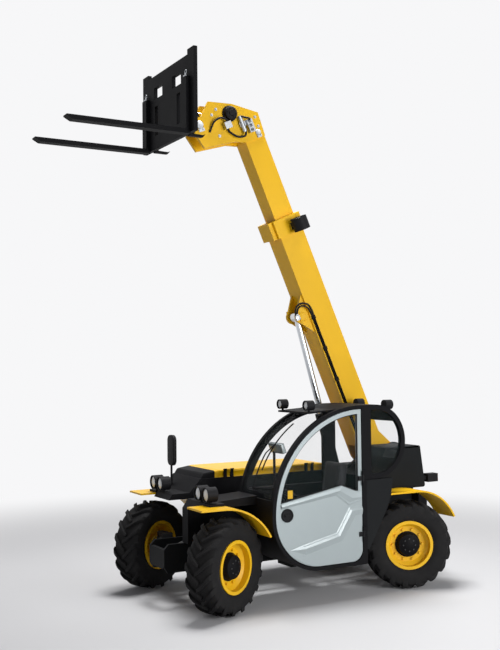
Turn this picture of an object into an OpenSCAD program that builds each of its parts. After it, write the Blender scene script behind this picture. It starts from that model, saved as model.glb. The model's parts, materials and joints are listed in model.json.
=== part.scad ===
// Compact telehandler with side cab, raised telescopic boom and pallet forks.
// Millimetres. +X forward, +Y to the machine's left, +Z up, ground at z = 0.

/* [Wheels and axles] */
// Height of the tyre over its lugs
tyre_d = 920; // [910:5:930]
// Width of the tyre over its sidewalls
tyre_w = 310; // [300:5:314]
// Diameter of the rim over its flanges
rim_d = 506; // [496:2:512]
// Distance between the wheel centres across the machine
track = 1475; // [1465:5:1485]
// Front of the cab to the front tyres
front_gap = 45; // [41:2:55]
// Rear of the cab to the rear tyres
rear_gap = 215; // [210:5:225]
// Wheel centre to kingpin
kingpin_in = 150; // [148:1:154]
// Front wheels turned to the left at rest
front_steer = 26; // [20:1:30]
// Rear wheels turned the other way at rest
rear_steer = -23; // [-30:1:-18]

/* [Frame] */
// Inside gap between the two frame plates
frame_gap = 300; // [298:2:306]
// Thickness of the frame plates
plate_t = 30; // [24:2:32]
// Boom pivot, along the machine
pivot_x = -1750; // [-1756:2:-1740]
// Boom pivot, above the ground
pivot_z = 1360; // [1350:5:1370]
// Radius of the boom pivot pin
pivot_r = 40; // [36:1:44]

/* [Cab] */
// Centre of the big door arc, along the machine
door_x = -785; // [-790:1:-780]
// Centre of the big door arc, above the ground
door_z = 885; // [880:1:890]
// Radius of the big door arc
door_r = 1018; // [1012:1:1022]
// Radius of the lower front arc of the door
door_low_r = 508; // [504:1:512]
// Width of the black frame around the door
cab_rim = 42; // [38:1:44]
// Left outer face of the cab
cab_left = 880; // [876:2:886]
// Right outer face of the cab
cab_right = 190; // [188:1:196]
// Radius of the round rear of the cab
arch_r = 378; // [374:1:382]

/* [Boom] */
// Boom angle above level at rest
boom_angle = 66.4; // [64:0.2:67]
// Width of the outer boom
boom_w = 250; // [244:2:256]
// Depth of the outer boom
boom_h = 310; // [300:5:320]
// Wall of both boom sections
boom_wall = 12; // [10:1:14]
// Length of the outer boom from the pivot
boom_len = 2930; // [2920:5:2940]
// Width of the inner boom
inner_w = 200; // [194:2:204]
// Depth of the inner boom
inner_h = 250; // [240:5:256]
// Length of the inner boom beyond the outer one
inner_out = 900; // [890:5:910]
// Lift cylinder foot, along the machine
lift_x = -1200; // [-1206:2:-1190]
// Lift cylinder foot, above the ground
lift_z = 720; // [715:1:730]

/* [Carriage and forks] */
// Width of the carriage
carriage_w = 1240; // [1200:10:1260]
// Height of the carriage
carriage_h = 830; // [800:10:850]
// Distance between the fork centres
fork_gap = 976; // [940:4:1000]
// Length of the fork blades
fork_l = 1200; // [1180:5:1210]
// Width of a fork blade
fork_w = 100; // [90:2:110]
// Thickness of a fork blade
fork_t = 45; // [40:1:48]

/* [Tow hitch] */
// Radius of the tow pin hole
hitch_r = 17.5; // [16:0.5:20]

/* [Hidden] */
$fn = 64;
yellow = "#f2b50f";
black = "#1d1f21";
charcoal = "#2f3234";
silver = "#b7bcbe";
steel = "#8d9194";
glass = "#4a5a60";
cab_r = door_r + cab_rim;
cab_front = door_x + cab_r;
cab_k = cab_r / 1060;
cab_back = door_x - 60;
front_x = cab_front + tyre_d / 2 + front_gap;
rear_x = cab_back - tyre_d / 2 - rear_gap;
tail_x = rear_x - 370;
weight_x = rear_x - 500;
axle_z = tyre_d / 2;
pinion = 165;
king_y = track / 2 - kingpin_in;
tube_r = 70;
spindle_r = 45;
trunnion_r = 24;
yoke_z = 105;
yoke_t = 40;
fy = frame_gap / 2;
fo = fy + plate_t;
frame_top = 610;
low_x = door_x + door_r - door_low_r;
low_r = door_low_r + cab_rim;
cab_top = door_z + cab_r;
visor_x = cab_front - 465 * cab_k;
cab_low = door_z - low_r;
frame_low = cab_low - 5;
body_low = frame_low + 150;
gear_x = cab_back + 145;
gear_l = 320;
arch_x = door_x - 185;
arch_z = cab_top - arch_r;
frame_y = 45;
cin = cab_right + frame_y;
cout = cab_left - frame_y - 5;
door_gap = 8;
door_in = cab_left - 44;
door_out = cab_left - 4;
hinge_x = door_x - 4;
hinge_y = cab_left + 12;
hinge_zs = [door_z - 265, door_z + 295];
door_edge = 44;
handle_r = 66;
skin = 30;
floor_z = cab_low + skin;
fender_r = tyre_d / 2 + 85;
fender_t = 18;
fender_in = 560;
fender_out = 870;
fender_z = axle_z + fender_r;
carrier_z = fender_z + fender_t;
carrier_top = carrier_z + 22;
sill_top = fender_z + 177;
lid_z = fender_z + 175;
lid_y = -fo - 7;
lid_top = lid_z + 82;
lid_edge = -fo - 20;
lid_xs = [rear_x + 660, front_x - 620];
v_top = -60;
v_low = v_top - boom_h;
v_mid = v_top - boom_h / 2;
boss_u = 1866;
boss_v = v_low - 90;
boss_in = 74;
boss_t = 28;
collar_u = boom_len - 190;
collar_out = boom_w / 2 + 18;
boss_x = pivot_x + boss_u * cos(boom_angle) - boss_v * sin(boom_angle);
boss_z = pivot_z + boss_u * sin(boom_angle) + boss_v * cos(boom_angle);
lift_len = norm([boss_x - lift_x, boss_z - lift_z]);
lift_a = atan2(boss_z - lift_z, boss_x - lift_x);
barrel_end = 1150;
inner_end = boom_len + inner_out;
head_u = inner_end - 20;
tilt_pu = inner_end + 316;
tilt_pv = v_mid - 582;
tilt_pin_r = 30;
tilt_x = pivot_x + tilt_pu * cos(boom_angle) - tilt_pv * sin(boom_angle);
tilt_z = pivot_z + tilt_pu * sin(boom_angle) + tilt_pv * cos(boom_angle);
lever = 170;
lever_a = 69.8;
lever_x = lever * cos(lever_a);
lever_z = lever * sin(lever_a);
base_u = inner_end + 40;
base_v = v_mid + 55;
base_x = pivot_x + base_u * cos(boom_angle) - base_v * sin(boom_angle);
base_z = pivot_z + base_u * sin(boom_angle) + base_v * cos(boom_angle);
tilt_dx = tilt_x + lever_x - base_x;
tilt_dz = tilt_z + lever_z - base_z;
tilt_len = norm([tilt_dx, tilt_dz]);
tilt_a = atan2(tilt_dz, tilt_dx);
car_back = 270;
car_t = 42;
fork_face = car_back + car_t;
fork_top = -171;
car_low = fork_top - 30;
head_in = 82;
lugs = 18;
lug_w = 42;
lug_h = 30;
lug_a = 45;
lens_depth = 24;
relief = 8;
slats = 8;
slat_step = 42;
head_out = inner_w / 2 + 14;

// Extrudes an x, z outline between two y values.
module xz(y0, y1) {
  translate([0, y1, 0])
    rotate([90, 0, 0])
      linear_extrude(y1 - y0)
        children();
}

// Block from one corner to the other.
module box(a, b) {
  translate(a)
    cube(b - a);
}

// Bar along y.
module bar(x, z, r, y0, y1) {
  translate([x, y1, z])
    rotate([90, 0, 0])
      cylinder(r = r, h = y1 - y0);
}

// Bar along x.
module rod_x(x0, x1, y, z, r) {
  translate([x0, y, z])
    rotate([0, 90, 0])
      cylinder(r = r, h = x1 - x0);
}

// Wedge with its point at the origin, for angles under 180 apart.
module wedge(r, a0, a1) {
  step = (a1 - a0) / 6;
  polygon(concat([[0, 0]], [for (i = [0:6]) 1.5 * r * [cos(a0 + step * i), sin(a0 + step * i)]]));
}

// Part of a flat ring.
module arc(x, z, r0, r1, a0, a1) {
  translate([x, z])
    intersection() {
      difference() {
        circle(r = r1, $fn = 192);
        circle(r = r0, $fn = 192);
      }
      wedge(r1, a0, a1);
    }
}

// Boom coordinates: x along the boom from the pivot, z square to it.
module on_boom() {
  translate([pivot_x, 0, pivot_z])
    rotate([0, -boom_angle, 0])
      children();
}

// Carriage coordinates: origin on the carriage pivot, forks level.
module on_carriage() {
  translate([tilt_x, 0, tilt_z])
    children();
}

// Outline of the door, grown by g.
module door_shape(g) {
  intersection() {
    union() {
      intersection() {
        translate([door_x, door_z])
          circle(r = door_r + g, $fn = 128);
        translate([door_x - g, door_z])
          square([2000, 2000]);
      }
      intersection() {
        translate([low_x, door_z])
          circle(r = door_low_r + g, $fn = 128);
        translate([low_x, door_z - 1000])
          square([2000, 1001]);
      }
      translate([door_x - g, door_z - door_low_r - g])
        square([low_x - door_x + g + 1, door_low_r + g + 1]);
    }
    union() {
      translate([door_x - g, door_z - door_low_r + 120])
        square([3000, 3000]);
      translate([door_x + 120, door_z - door_low_r - g])
        square([3000, 3000]);
      translate([door_x + 120, door_z - door_low_r + 120])
        circle(r = 120 + g);
    }
  }
}

// Outline of the whole cab side.
module cab_shape() {
  intersection() {
    translate([door_x, door_z])
      circle(r = cab_r, $fn = 128);
    translate([door_x - 1, door_z])
      square([2000, 2000]);
  }
  intersection() {
    translate([low_x, door_z])
      circle(r = low_r, $fn = 128);
    translate([low_x, door_z - 1000])
      square([2000, 1001]);
  }
  translate([door_x - 60, cab_low])
    square([low_x - door_x + 61, door_z - cab_low + 1]);
  translate([arch_x, arch_z - arch_r])
    square([door_x - arch_x, 2 * arch_r]);
  translate([arch_x, arch_z])
    circle(r = arch_r, $fn = 96);
  translate([door_x - 60, door_z])
    square([61, arch_z - door_z]);
}

// Round rear side window, flat in front.
module quarter_shape(g) {
  intersection() {
    translate([arch_x, arch_z])
      circle(r = arch_r - 52 + g, $fn = 96);
    translate([arch_x - 500, arch_z - 500])
      square([560 + g, 1000]);
  }
}

// Window of the right cab side.
module right_glass_shape(g) {
  intersection() {
    translate([door_x, door_z])
      circle(r = door_r - 40 + g, $fn = 128);
    translate([door_x + 30 - g, door_z + 220 - g])
      square([2000, 2000]);
  }
}

// Outline of one frame plate.
module plate_shape() {
  polygon([[weight_x, frame_low], [front_x + 280, frame_low], [front_x + 320, frame_low + 60],
    [front_x + 320, frame_top - 50], [front_x + 270, frame_top],
    [lift_x + 260, frame_top], [lift_x + 60, lift_z + 60], [lift_x - 60, lift_z + 80],
    [pivot_x + 130, pivot_z - 110], [pivot_x + 90, pivot_z + 70], [pivot_x - 90, pivot_z + 70],
    [weight_x + 10, pivot_z - 260]]);
  translate([pivot_x, pivot_z])
    circle(r = 120);
  translate([lift_x, lift_z])
    circle(r = 100);
}

module chassis_frame() {
  color(charcoal)
    union() {
      difference() {
        union() {
          xz(fy, fo)
            plate_shape();
          xz(-fo, -fy)
            plate_shape();
        }
        bar(front_x, axle_z, tube_r, -fo - 1, fo + 1);
        bar(rear_x, axle_z, tube_r, -fo - 1, fo + 1);
      }
      bar(pivot_x, pivot_z, pivot_r, -fy - 1, fy + 1);
      bar(lift_x, lift_z, 30, -fy - 1, fy + 1);
      box([front_x + 280, -fy - 1, frame_low + 40], [front_x + 320, fy + 1, frame_top - 50]);
      for (x = [cab_front - 175, cab_back - 55])
        box([x, -fy - 1, frame_low], [x + 80, fy + 1, frame_low + 60]);
      box([weight_x + 10, -fy - 1, 420], [weight_x + 60, fy + 1, 900]);
      for (x = [low_x, cab_back + 5])
        box([x, fy, cab_low - 45], [x + 60, 420, cab_low]);
    }
}

module counterweight() {
  color(black)
    difference() {
      union() {
        box([weight_x - 90, -300, 430], [weight_x, 300, 900]);
        box([weight_x, fo, 600], [weight_x + 30, 300, 900]);
        box([weight_x, -300, 600], [weight_x + 30, -fo, 900]);
        box([weight_x - 180, -60, 500], [weight_x - 89, 60, 525]);
        box([weight_x - 180, -60, 575], [weight_x - 89, 60, 600]);
      }
      translate([weight_x - 145, 0, 450])
        cylinder(r = hitch_r, h = 200);
    }
}

// Axle with a kingpin yoke at each end and its pinion on one side.
module axle(x, side) {
  color(charcoal)
    difference() {
      union() {
        bar(x, axle_z, tube_r, -king_y + 150, king_y - 150);
        translate([x, 0, axle_z])
          sphere(r = 136);
        rod_x(min(x, x + side * pinion), max(x, x + side * pinion), 0, axle_z, 62);
        for (s = [-1, 1]) {
          translate([x - 55, s * (king_y - 135) - 20, axle_z - yoke_z - yoke_t])
            cube([110, 40, 2 * (yoke_z + yoke_t)]);
          for (z = [axle_z + yoke_z, axle_z - yoke_z - yoke_t]) {
            translate([x, s * king_y, z])
              cylinder(r = 50, h = yoke_t);
            translate([x - 50, s * king_y - (s > 0 ? 130 : 0), z])
              cube([100, 130, yoke_t]);
          }
        }
      }
      for (s = [-1, 1])
        translate([x, s * king_y, 0])
          cylinder(r = trunnion_r + 0.5, h = tyre_d);
    }
}

module front_axle() {
  axle(front_x, -1);
}

module rear_axle() {
  axle(rear_x, 1);
}

module driveline() {
  color(steel)
    union() {
      box([gear_x, -fy, axle_z - 60], [gear_x + gear_l, fy, axle_z + 100]);
      rod_x(rear_x + pinion, gear_x + 1, 0, axle_z, 32);
      rod_x(gear_x + gear_l - 1, front_x - pinion, 0, axle_z, 32);
    }
}

module engine_block() {
  color(steel)
    union() {
      box([cab_back + 85, -740, body_low + 80], [front_x - 820, -230, lid_z - 140]);
      box([gear_x, -231, frame_top - 40], [gear_x + gear_l, -fo, frame_top - 10]);
    }
}

module cab_floor() {
  color(black)
    xz(cin, cout) {
      arc(low_x, door_z, low_r - skin, low_r, -90, 0);
      arc(door_x, door_z, cab_r - skin, cab_r, 0, 9);
      translate([door_x - 60, cab_low])
        square([low_x - door_x + 61, skin]);
    }
}

// Room inside the cab, for what stands on its floor.
module cab_inside() {
  translate([low_x, door_z])
    circle(r = low_r - skin, $fn = 192);
  translate([door_x - 30, cab_low + skin])
    square([low_x - door_x + 30, 1000]);
  translate([low_x, door_z])
    square([400, 600]);
}

// Hinge knuckle of the door, with its leaf to one side.
module door_knuckle(z, h, x0, x1, y) {
  translate([hinge_x, hinge_y, z])
    cylinder(r = 12, h = h);
  box([x0, y, z], [x1, hinge_y, z + h]);
}

module cab_left_frame() {
  color(black)
    union() {
      difference() {
        xz(cout, cab_left)
          cab_shape();
        xz(cout - 1, cab_left + 1) {
          door_shape(door_gap);
          quarter_shape(0);
        }
      }
      for (z = hinge_zs) {
        door_knuckle(z - 50.3, 50, hinge_x - 52, hinge_x, cab_left - 1);
        door_knuckle(z + 50.3, 50, hinge_x - 52, hinge_x, cab_left - 1);
      }
    }
}

module cab_right_frame() {
  color(black)
    difference() {
      xz(cab_right, cin)
        cab_shape();
      xz(cab_right - 1, cin + 1) {
        right_glass_shape(0);
        quarter_shape(0);
      }
    }
}

module cab_roof() {
  color(black)
    xz(cin, cout) {
      arc(door_x, door_z, cab_r - skin, cab_r, 74, 90);
      translate([arch_x, cab_top - skin])
        square([door_x - arch_x + 1, skin]);
      arc(arch_x, arch_z, arch_r - skin, arch_r, 90, 146);
      visor_shape();
    }
}

module cab_rear_wall() {
  color(black)
    xz(cin, cout) {
      arc(arch_x, arch_z, arch_r - skin, arch_r, 214, 270);
      translate([arch_x - 1, arch_z - arch_r])
        square([door_x - 60 - arch_x + 1, skin]);
      translate([door_x - 60, cab_low + skin])
        square([skin, arch_z - arch_r - cab_low]);
    }
}

module windscreen() {
  color(glass)
    xz(cin, cout)
      arc(door_x, door_z, cab_r - 20, cab_r - 12, 9, 74);
}

module cab_windows() {
  color(glass)
    union() {
      xz(cin, cout)
        arc(arch_x, arch_z, arch_r - 20, arch_r - 12, 146, 214);
      xz(cab_right + 16, cab_right + 22) {
        right_glass_shape(0);
        quarter_shape(0);
      }
      xz(cab_left - 26, cab_left - 20)
        quarter_shape(0);
    }
}

module seat() {
  color(black)
    union() {
      box([door_x + 165 * cab_k, 400, floor_z], [door_x + 415 * cab_k, 680, floor_z + 375]);
      box([door_x + 95 * cab_k, 350, floor_z + 374], [door_x + 555 * cab_k, 730, floor_z + 485]);
      translate([door_x + 95 * cab_k, 0, floor_z + 475])
        rotate([0, -8, 0])
          box([0, 360, 0], [110, 720, 520]);
    }
}

module controls() {
  color(black)
    union() {
      intersection() {
        union() {
          translate([cab_front - 245 * cab_k, 540, floor_z])
            rotate([0, -16, 0])
              cylinder(r = 45, h = 690);
          translate([cab_front - 345 * cab_k, 345, floor_z])
            cylinder(r = 14, h = 600);
          box([cab_back + 205, cin, floor_z + 80], [cab_front - 335 * cab_k, 330, floor_z + 435]);
        }
        xz(cin, cout)
          cab_inside();
      }
      translate([cab_front - 435 * cab_k, 540, floor_z + 663])
        rotate([0, -30, 0]) {
          rotate_extrude()
            translate([175, 0])
              circle(r = 15);
          cylinder(r = 40, h = 26, center = true);
          for (a = [90, 210, 330])
            rotate([0, 90, a])
              cylinder(r = 9, h = 170);
        }
      translate([cab_front - 475 * cab_k, 285, floor_z + 434])
        cylinder(r = 14, h = 160);
      translate([cab_front - 475 * cab_k, 285, floor_z + 585])
        sphere(r = 26);
      translate([cab_front - 345 * cab_k, 345, floor_z + 599])
        cylinder(r = 14, h = 520);
      translate([cab_front - 345 * cab_k, 405, floor_z + 1150])
        rotate([0, 20, 0])
          box([-20, -125, -50], [20, 125, 50]);
    }
}

// Arched wing over one wheel.
module fender(x, front) {
  arc(x, axle_z, fender_r, fender_r + fender_t, 90, 153);
  translate([x - 1, fender_z])
    square([front, fender_t]);
}

module fenders() {
  color(yellow)
    union() {
      xz(fender_in, fender_out)
        fender(front_x, 250);
      xz(-fender_out, -fender_in)
        fender(front_x, 250);
      xz(fender_in, fender_out)
        fender(rear_x, 360);
      xz(-fender_out, -fender_in)
        fender(rear_x, 360);
    }
}

module headlights() {
  color(black)
    for (s = [-1, 1])
      for (y = [450, 620])
        translate([front_x, s * y, carrier_top]) {
          difference() {
            rod_x(-20, 90, 0, 84, 72);
            rod_x(90 - lens_depth, 91, 0, 84, 64);
          }
          translate([35, 0, 0])
            cylinder(r = 16, h = 40);
        }
}

// Side outline of the engine housing.
module body_shape() {
  polygon([[cab_back + 15, body_low], [front_x - 530, body_low], [front_x - 530, fender_z - 125],
    [front_x - 360, fender_z - 20], [front_x - 80, fender_z - 20], [front_x - 140, fender_z + 45],
    [front_x - 260, lid_z], [rear_x + 360, lid_z], [rear_x + 360, fender_z], [rear_x + 400, fender_z - 125]]);
}

module mirror() {
  color(black)
    difference() {
      union() {
        translate([front_x - 165, -690, carrier_top])
          cylinder(r = 12, h = 480);
        box([front_x - 190, -760, carrier_top + 240], [front_x - 145, -600, carrier_top + 570]);
      }
      xz(-850, -fo)
        body_shape();
    }
}

// Side outline of the left rear cowl.
module cowl_shape() {
  polygon([[rear_x + 340, fender_z], [tail_x, fender_z], [tail_x + 65, fender_z + 440],
    [tail_x + 100, fender_z + 465], [rear_x + 220, fender_z + 465], [rear_x + 340, sill_top]]);
}

// Side outline of the right rear of the engine housing.
module tail_shape() {
  polygon([[rear_x + 361, fender_z - 20], [tail_x, fender_z - 20], [tail_x + 30, fender_z + 145],
    [tail_x + 80, fender_z + 195], [rear_x + 361, fender_z + 195]]);
}

module tail_lights() {
  color(black)
    difference() {
      for (y0 = [470, -560]) {
        box([tail_x - 165, y0, fender_z + 50], [tail_x - 25, y0 + 90, fender_z + 140]);
        box([tail_x - 26, y0 + 30, fender_z + 75], [tail_x + 40, y0 + 60, fender_z + 115]);
      }
      xz(fo, fender_in)
        cowl_shape();
      xz(-fender_in, -fo)
        tail_shape();
    }
}

// Section of the sun visor in front of the roof.
module visor_shape() {
  polygon([[door_x + 225 * cab_k, cab_top - 32 * cab_k], [visor_x, cab_top - 55 * cab_k],
    [visor_x, cab_top - 73 * cab_k], [door_x + 258 * cab_k, cab_top - 47 * cab_k]]);
}

// Round lamp on a short post, its lens to the front or to the rear.
module work_light(x, y, z, way) {
  translate([x, y, z - 140])
    cylinder(r = 12, h = 110);
  difference() {
    rod_x(x - 45, x + 45, y, z, 50);
    rod_x(way > 0 ? x + 45 - lens_depth : x - 46, way > 0 ? x + 46 : x - 45 + lens_depth, y, z, 44);
  }
}

module work_lights() {
  color(black)
    difference() {
      for (y = [270, 770]) {
        work_light(visor_x - 35, y, cab_top + 10, 1);
        work_light(arch_x - 235, y, cab_top - 8, -1);
      }
      xz(cab_right, cab_left) {
        cab_shape();
        visor_shape();
        polygon([[door_x + 225 * cab_k, cab_top - 30 * cab_k], [visor_x, cab_top - 60 * cab_k],
          [visor_x, cab_top - 200], [door_x + 225 * cab_k, cab_top - 200]]);
      }
    }
}

module rear_panel() {
  color(charcoal)
    difference() {
      xz(cab_left - 70, cab_left - 8)
        polygon([[cab_back, body_low], [cab_back - 30, body_low], [rear_x + 410, fender_z - 125],
          [rear_x + 359, fender_z], [rear_x + 359, carrier_z], [rear_x + 330, sill_top],
          [cab_back, sill_top]]);
      xz(cab_left - 80, cab_left)
        cab_shape();
    }
}

module rear_cowl() {
  color(charcoal)
    difference() {
      xz(fo, fender_in)
        cowl_shape();
      xz(fo - 1, fender_in + 1)
        cab_shape();
    }
}

// Nose of the left side in front of the cab.
module cowl_nose() {
  xz(fo, 305)
    polygon([[cab_front - 125, frame_top + 10], [front_x + 120, frame_top + 10],
      [front_x + 120, fender_z - 45], [front_x + 60, carrier_top], [front_x - 80, carrier_top],
      [cab_front - 125, fender_z + 75]]);
  xz(304, fender_in)
    polygon([[cab_front - 125, fender_z - 20], [front_x + 100, fender_z - 20], [front_x + 60, carrier_top],
      [front_x - 80, carrier_top], [cab_front - 125, fender_z + 75]]);
}

module front_cowl() {
  color(black)
    difference() {
      union() {
        cowl_nose();
        box([front_x - 80, fender_in - 1, carrier_z], [front_x + 80, 710, carrier_top]);
      }
      xz(fo - 1, 900)
        cab_shape();
    }
}

// Right side housing round the engine, open on top under the lid.
module right_body() {
  color(black)
    union() {
      difference() {
        xz(-850, -fo)
          body_shape();
        xz(-820, -fo - 25)
          polygon([[cab_back + 45, body_low + skin], [front_x - 560, body_low + skin],
            [front_x - 560, fender_z - 115], [front_x - 380, fender_z + 5], [front_x - 140, fender_z + 5],
            [front_x - 280, lid_z + 1], [rear_x + 460, lid_z + 1], [rear_x + 460, fender_z - 105]]);
        xz(-851, -fender_in)
          fender(front_x, 250);
        box([gear_x - 20, -230, frame_top - 50], [gear_x + gear_l + 20, -fo + 1, frame_top]);
        for (i = [0:slats - 1])
          box([cab_back + 120, -851, body_low + 150 + i * slat_step],
            [cab_back + 620, -819, body_low + 170 + i * slat_step]);
      }
      xz(-fender_in, -fo)
        tail_shape();
      for (x = lid_xs) {
        lid_knuckle(x - 40.3, lid_y, lid_z - 2);
        lid_knuckle(x + 40.3, lid_y, lid_z - 2);
      }
      box([front_x - 190, -720, carrier_z], [front_x + 80, -fender_in + 2, carrier_top]);
      xz(-fender_in + 1, -fo)
        polygon([[front_x - 200, fender_z - 20], [front_x + 100, fender_z - 20], [front_x + 60, carrier_top],
          [front_x - 200, carrier_top]]);
    }
}

// Hinge knuckle of the engine lid, with its leaf.
module lid_knuckle(x, y, z) {
  rod_x(x, x + 40, lid_y, lid_top, 8);
  box([x, min(y, lid_y - 5), z], [x + 40, max(y, lid_y), lid_top]);
}

module bonnet() {
  color(yellow)
    union() {
      xz(-856, lid_edge)
        polygon([[rear_x + 380, lid_z + 0.4], [front_x - 275, lid_z + 0.4], [front_x - 310, lid_z + 55],
          [front_x - 480, lid_z + 80], [rear_x + 520, lid_z + 80], [rear_x + 380, lid_z + 45]]);
      for (x = lid_xs)
        lid_knuckle(x, lid_edge - 10, lid_z + 55);
    }
}

// Top edge of the silver lower half of the door.
module door_lower() {
  polygon([[door_x - 100, 0], [cab_front + 100, 0], [cab_front + 100, door_z + 80],
    [cab_front - 78, door_z + 130], [door_x + 251, door_z + 262], [door_x + 80, door_z + 197],
    [door_x - 100, door_z + 190]]);
}

// Raised fields of the lower half of the door.
module door_fields() {
  polygon([[cab_front - 95, door_z + 126], [door_x + 251, door_z + 254], [door_x + 80, door_z + 192],
    [door_x + 10, door_z + 188], [door_x + 10, door_z + 105], [door_x + 168, door_z + 71],
    [door_x + 320, door_z + 187], [cab_front - 99, door_z + 94]]);
  intersection() {
    door_shape(-10);
    polygon([[low_x + 200, door_z - 294], [door_x + 310, door_z - 210], [door_x + 152, door_z + 27],
      [door_x + 83, door_z + 36], [door_x, door_z + 36], [door_x, 0], [low_x + 200, 0]]);
  }
}

module door_panel() {
  color(silver)
    xz(door_out - 1, door_out + relief)
      door_fields();
  color(silver)
    xz(door_in, door_out) {
      difference() {
        door_shape(0);
        door_shape(-door_edge);
      }
      intersection() {
        door_shape(1 - door_edge);
        door_lower();
      }
    }
  color(silver)
    for (z = hinge_zs)
      door_knuckle(z, 50, hinge_x, door_x + 46, door_out - 1);
}

module door_glass() {
  color(glass)
    xz(door_in + 16, door_in + 22)
      difference() {
        door_shape(-door_edge);
        door_lower();
      }
}

module door_handle() {
  color(black)
    bar(cab_front - 166, door_z + 18, handle_r, door_out, door_out + 10);
}

module boom_outer() {
  color(yellow)
    on_boom()
      difference() {
        union() {
          xz(-boom_w / 2, boom_w / 2)
            polygon([[-60, v_low + 60], [120, v_low], [boom_len, v_low], [boom_len, v_top], [300, v_top],
              [0, 90]]);
          for (s = [-1, 1])
            bar(0, 0, 110, s > 0 ? 90 : -fy + 6, s > 0 ? fy - 6 : -90);
          box([collar_u, -collar_out, v_low - 30], [boom_len, collar_out, v_top + 14]);
          box([collar_u, -110, v_low - 80], [boom_len, 110, v_low]);
          for (s = [-1, 1])
            xz(s > 0 ? boss_in : -boss_in - boss_t, s > 0 ? boss_in + boss_t : -boss_in) {
              polygon([[boss_u - 230, v_low + 5], [boss_u + 230, v_low + 5], [boss_u + 70, boss_v - 30],
                [boss_u - 70, boss_v - 30]]);
              translate([boss_u, boss_v])
                circle(r = 75);
            }
        }
        box([260, -boom_w / 2 + boom_wall, v_low + boom_wall],
          [boom_len + 1, boom_w / 2 - boom_wall, v_top - boom_wall]);
        box([-400, -90, v_low - 10], [261, 90, 200]);
        bar(0, 0, pivot_r + 1, -fy, fy);
        bar(boss_u, boss_v, 36, -boom_w / 2, boom_w / 2);
      }
  color(yellow)
    on_boom()
      for (s = [-1, 1]) {
        box([boom_len - 150, s > 0 ? inner_w / 2 + 0.4 : -boom_w / 2 + boom_wall - 1, v_mid - 60],
          [boom_len - 30, s > 0 ? boom_w / 2 - boom_wall + 1 : -inner_w / 2 - 0.4, v_mid + 60]);
        box([boom_len - 150, -60, s > 0 ? v_mid + inner_h / 2 + 0.4 : v_low + boom_wall - 1],
          [boom_len - 30, 60, s > 0 ? v_top - boom_wall + 1 : v_mid - inner_h / 2 - 0.4]);
      }
}

module boom_pipes() {
  pipe_u = 350;
  pipe_l = boss_u - 40 - pipe_u;
  clips = 4;
  color(black)
    on_boom() {
      rod_x(pipe_u, pipe_u + pipe_l, boom_w / 2 + 8, v_low + 20, 8);
      rod_x(pipe_u, pipe_u + pipe_l, boom_w / 2 + 8, v_low + 40, 8);
      for (i = [1:clips])
        box([pipe_u + pipe_l * i / clips - 40, boom_w / 2, v_low + 8],
          [pipe_u + pipe_l * i / clips, boom_w / 2 + 18, v_low + 52]);
    }
}

module boom_light() {
  lamp_r = 88;
  color(black)
    on_boom() {
      box([collar_u + 30, collar_out, v_mid + 10], [collar_u + 110, collar_out + 40, v_mid + 130]);
      difference() {
        rod_x(collar_u, collar_u + 140, collar_out + lamp_r + 10, v_mid + 70, lamp_r);
        rod_x(collar_u + 140 - lens_depth, collar_u + 141, collar_out + lamp_r + 10, v_mid + 70, lamp_r - 8);
      }
    }
}

// Side outline of the goose-neck head.
module head_shape() {
  polygon([[head_u, v_mid - inner_h / 2], [head_u + 50, v_mid - inner_h / 2 - 125],
    [tilt_pu - 240, tilt_pv - 40],
    [tilt_pu - 60, tilt_pv - 85], [tilt_pu + 60, tilt_pv + 40], [tilt_pu + 195, tilt_pv + 195],
    [tilt_pu + 92, tilt_pv + 455], [inner_end + 235, v_mid + inner_h / 2 + 15],
    [head_u, v_mid + inner_h / 2]]);
  translate([tilt_pu, tilt_pv])
    circle(r = 82);
}

module boom_inner() {
  color(yellow)
    on_boom()
      difference() {
        union() {
          box([1200, -inner_w / 2, v_mid - inner_h / 2], [inner_end, inner_w / 2, v_mid + inner_h / 2]);
          xz(head_in, head_out)
            head_shape();
          xz(-head_out, -head_in)
            head_shape();
          bar(tilt_pu, tilt_pv, tilt_pin_r, 42, head_out);
          bar(tilt_pu, tilt_pv, tilt_pin_r, -head_out, -42);
          bar(base_u, base_v, 22, -head_out, head_out);
          box([inner_end + 90, -head_in - 1, v_mid + inner_h / 2 - 10],
            [inner_end + 220, head_in + 1, v_mid + inner_h / 2 + 14]);
        }
        box([1199, -inner_w / 2 + boom_wall, v_mid - inner_h / 2 + boom_wall],
          [inner_end + 1, inner_w / 2 - boom_wall, v_mid + inner_h / 2 - boom_wall]);
      }
}

module head_fittings() {
  color(steel)
    on_boom() {
      box([inner_end + 60, head_out, v_mid - 60], [inner_end + 200, head_out + 50, v_mid + 10]);
      rod_x(inner_end + 90, inner_end + 260, head_out + 26, v_mid - 110, 24);
      box([inner_end + 150, head_out, v_mid - 140], [inner_end + 200, head_out + 26, v_mid - 59]);
      box([inner_end + 180, head_out, v_mid - 330], [inner_end + 250, head_out + 60, v_mid - 250]);
    }
}

// Cylinder coordinates: x from the foot pin along the rod.
module on_lift() {
  translate([lift_x, 0, lift_z])
    rotate([0, -lift_a, 0])
      children();
}

module lift_barrel() {
  color(black)
    on_lift()
      difference() {
        union() {
          bar(0, 0, 62, -50, 50);
          rod_x(20, barrel_end, 0, 0, 62);
          rod_x(barrel_end - 60, barrel_end, 0, 0, 68);
        }
        bar(0, 0, 31, -70, 70);
        rod_x(75, barrel_end - 59, 0, 0, 52);
        rod_x(75, barrel_end + 1, 0, 0, 36);
      }
}

module lift_rod() {
  color("#d5d9dc")
    on_lift() {
      rod_x(1078, lift_len, 0, 0, 35);
      bar(lift_len, 0, 55, -52, 52);
    }
}

// Tilt cylinder coordinates, the same way.
module on_tilt() {
  translate([base_x, 0, base_z])
    rotate([0, -tilt_a, 0])
      children();
}

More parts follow.
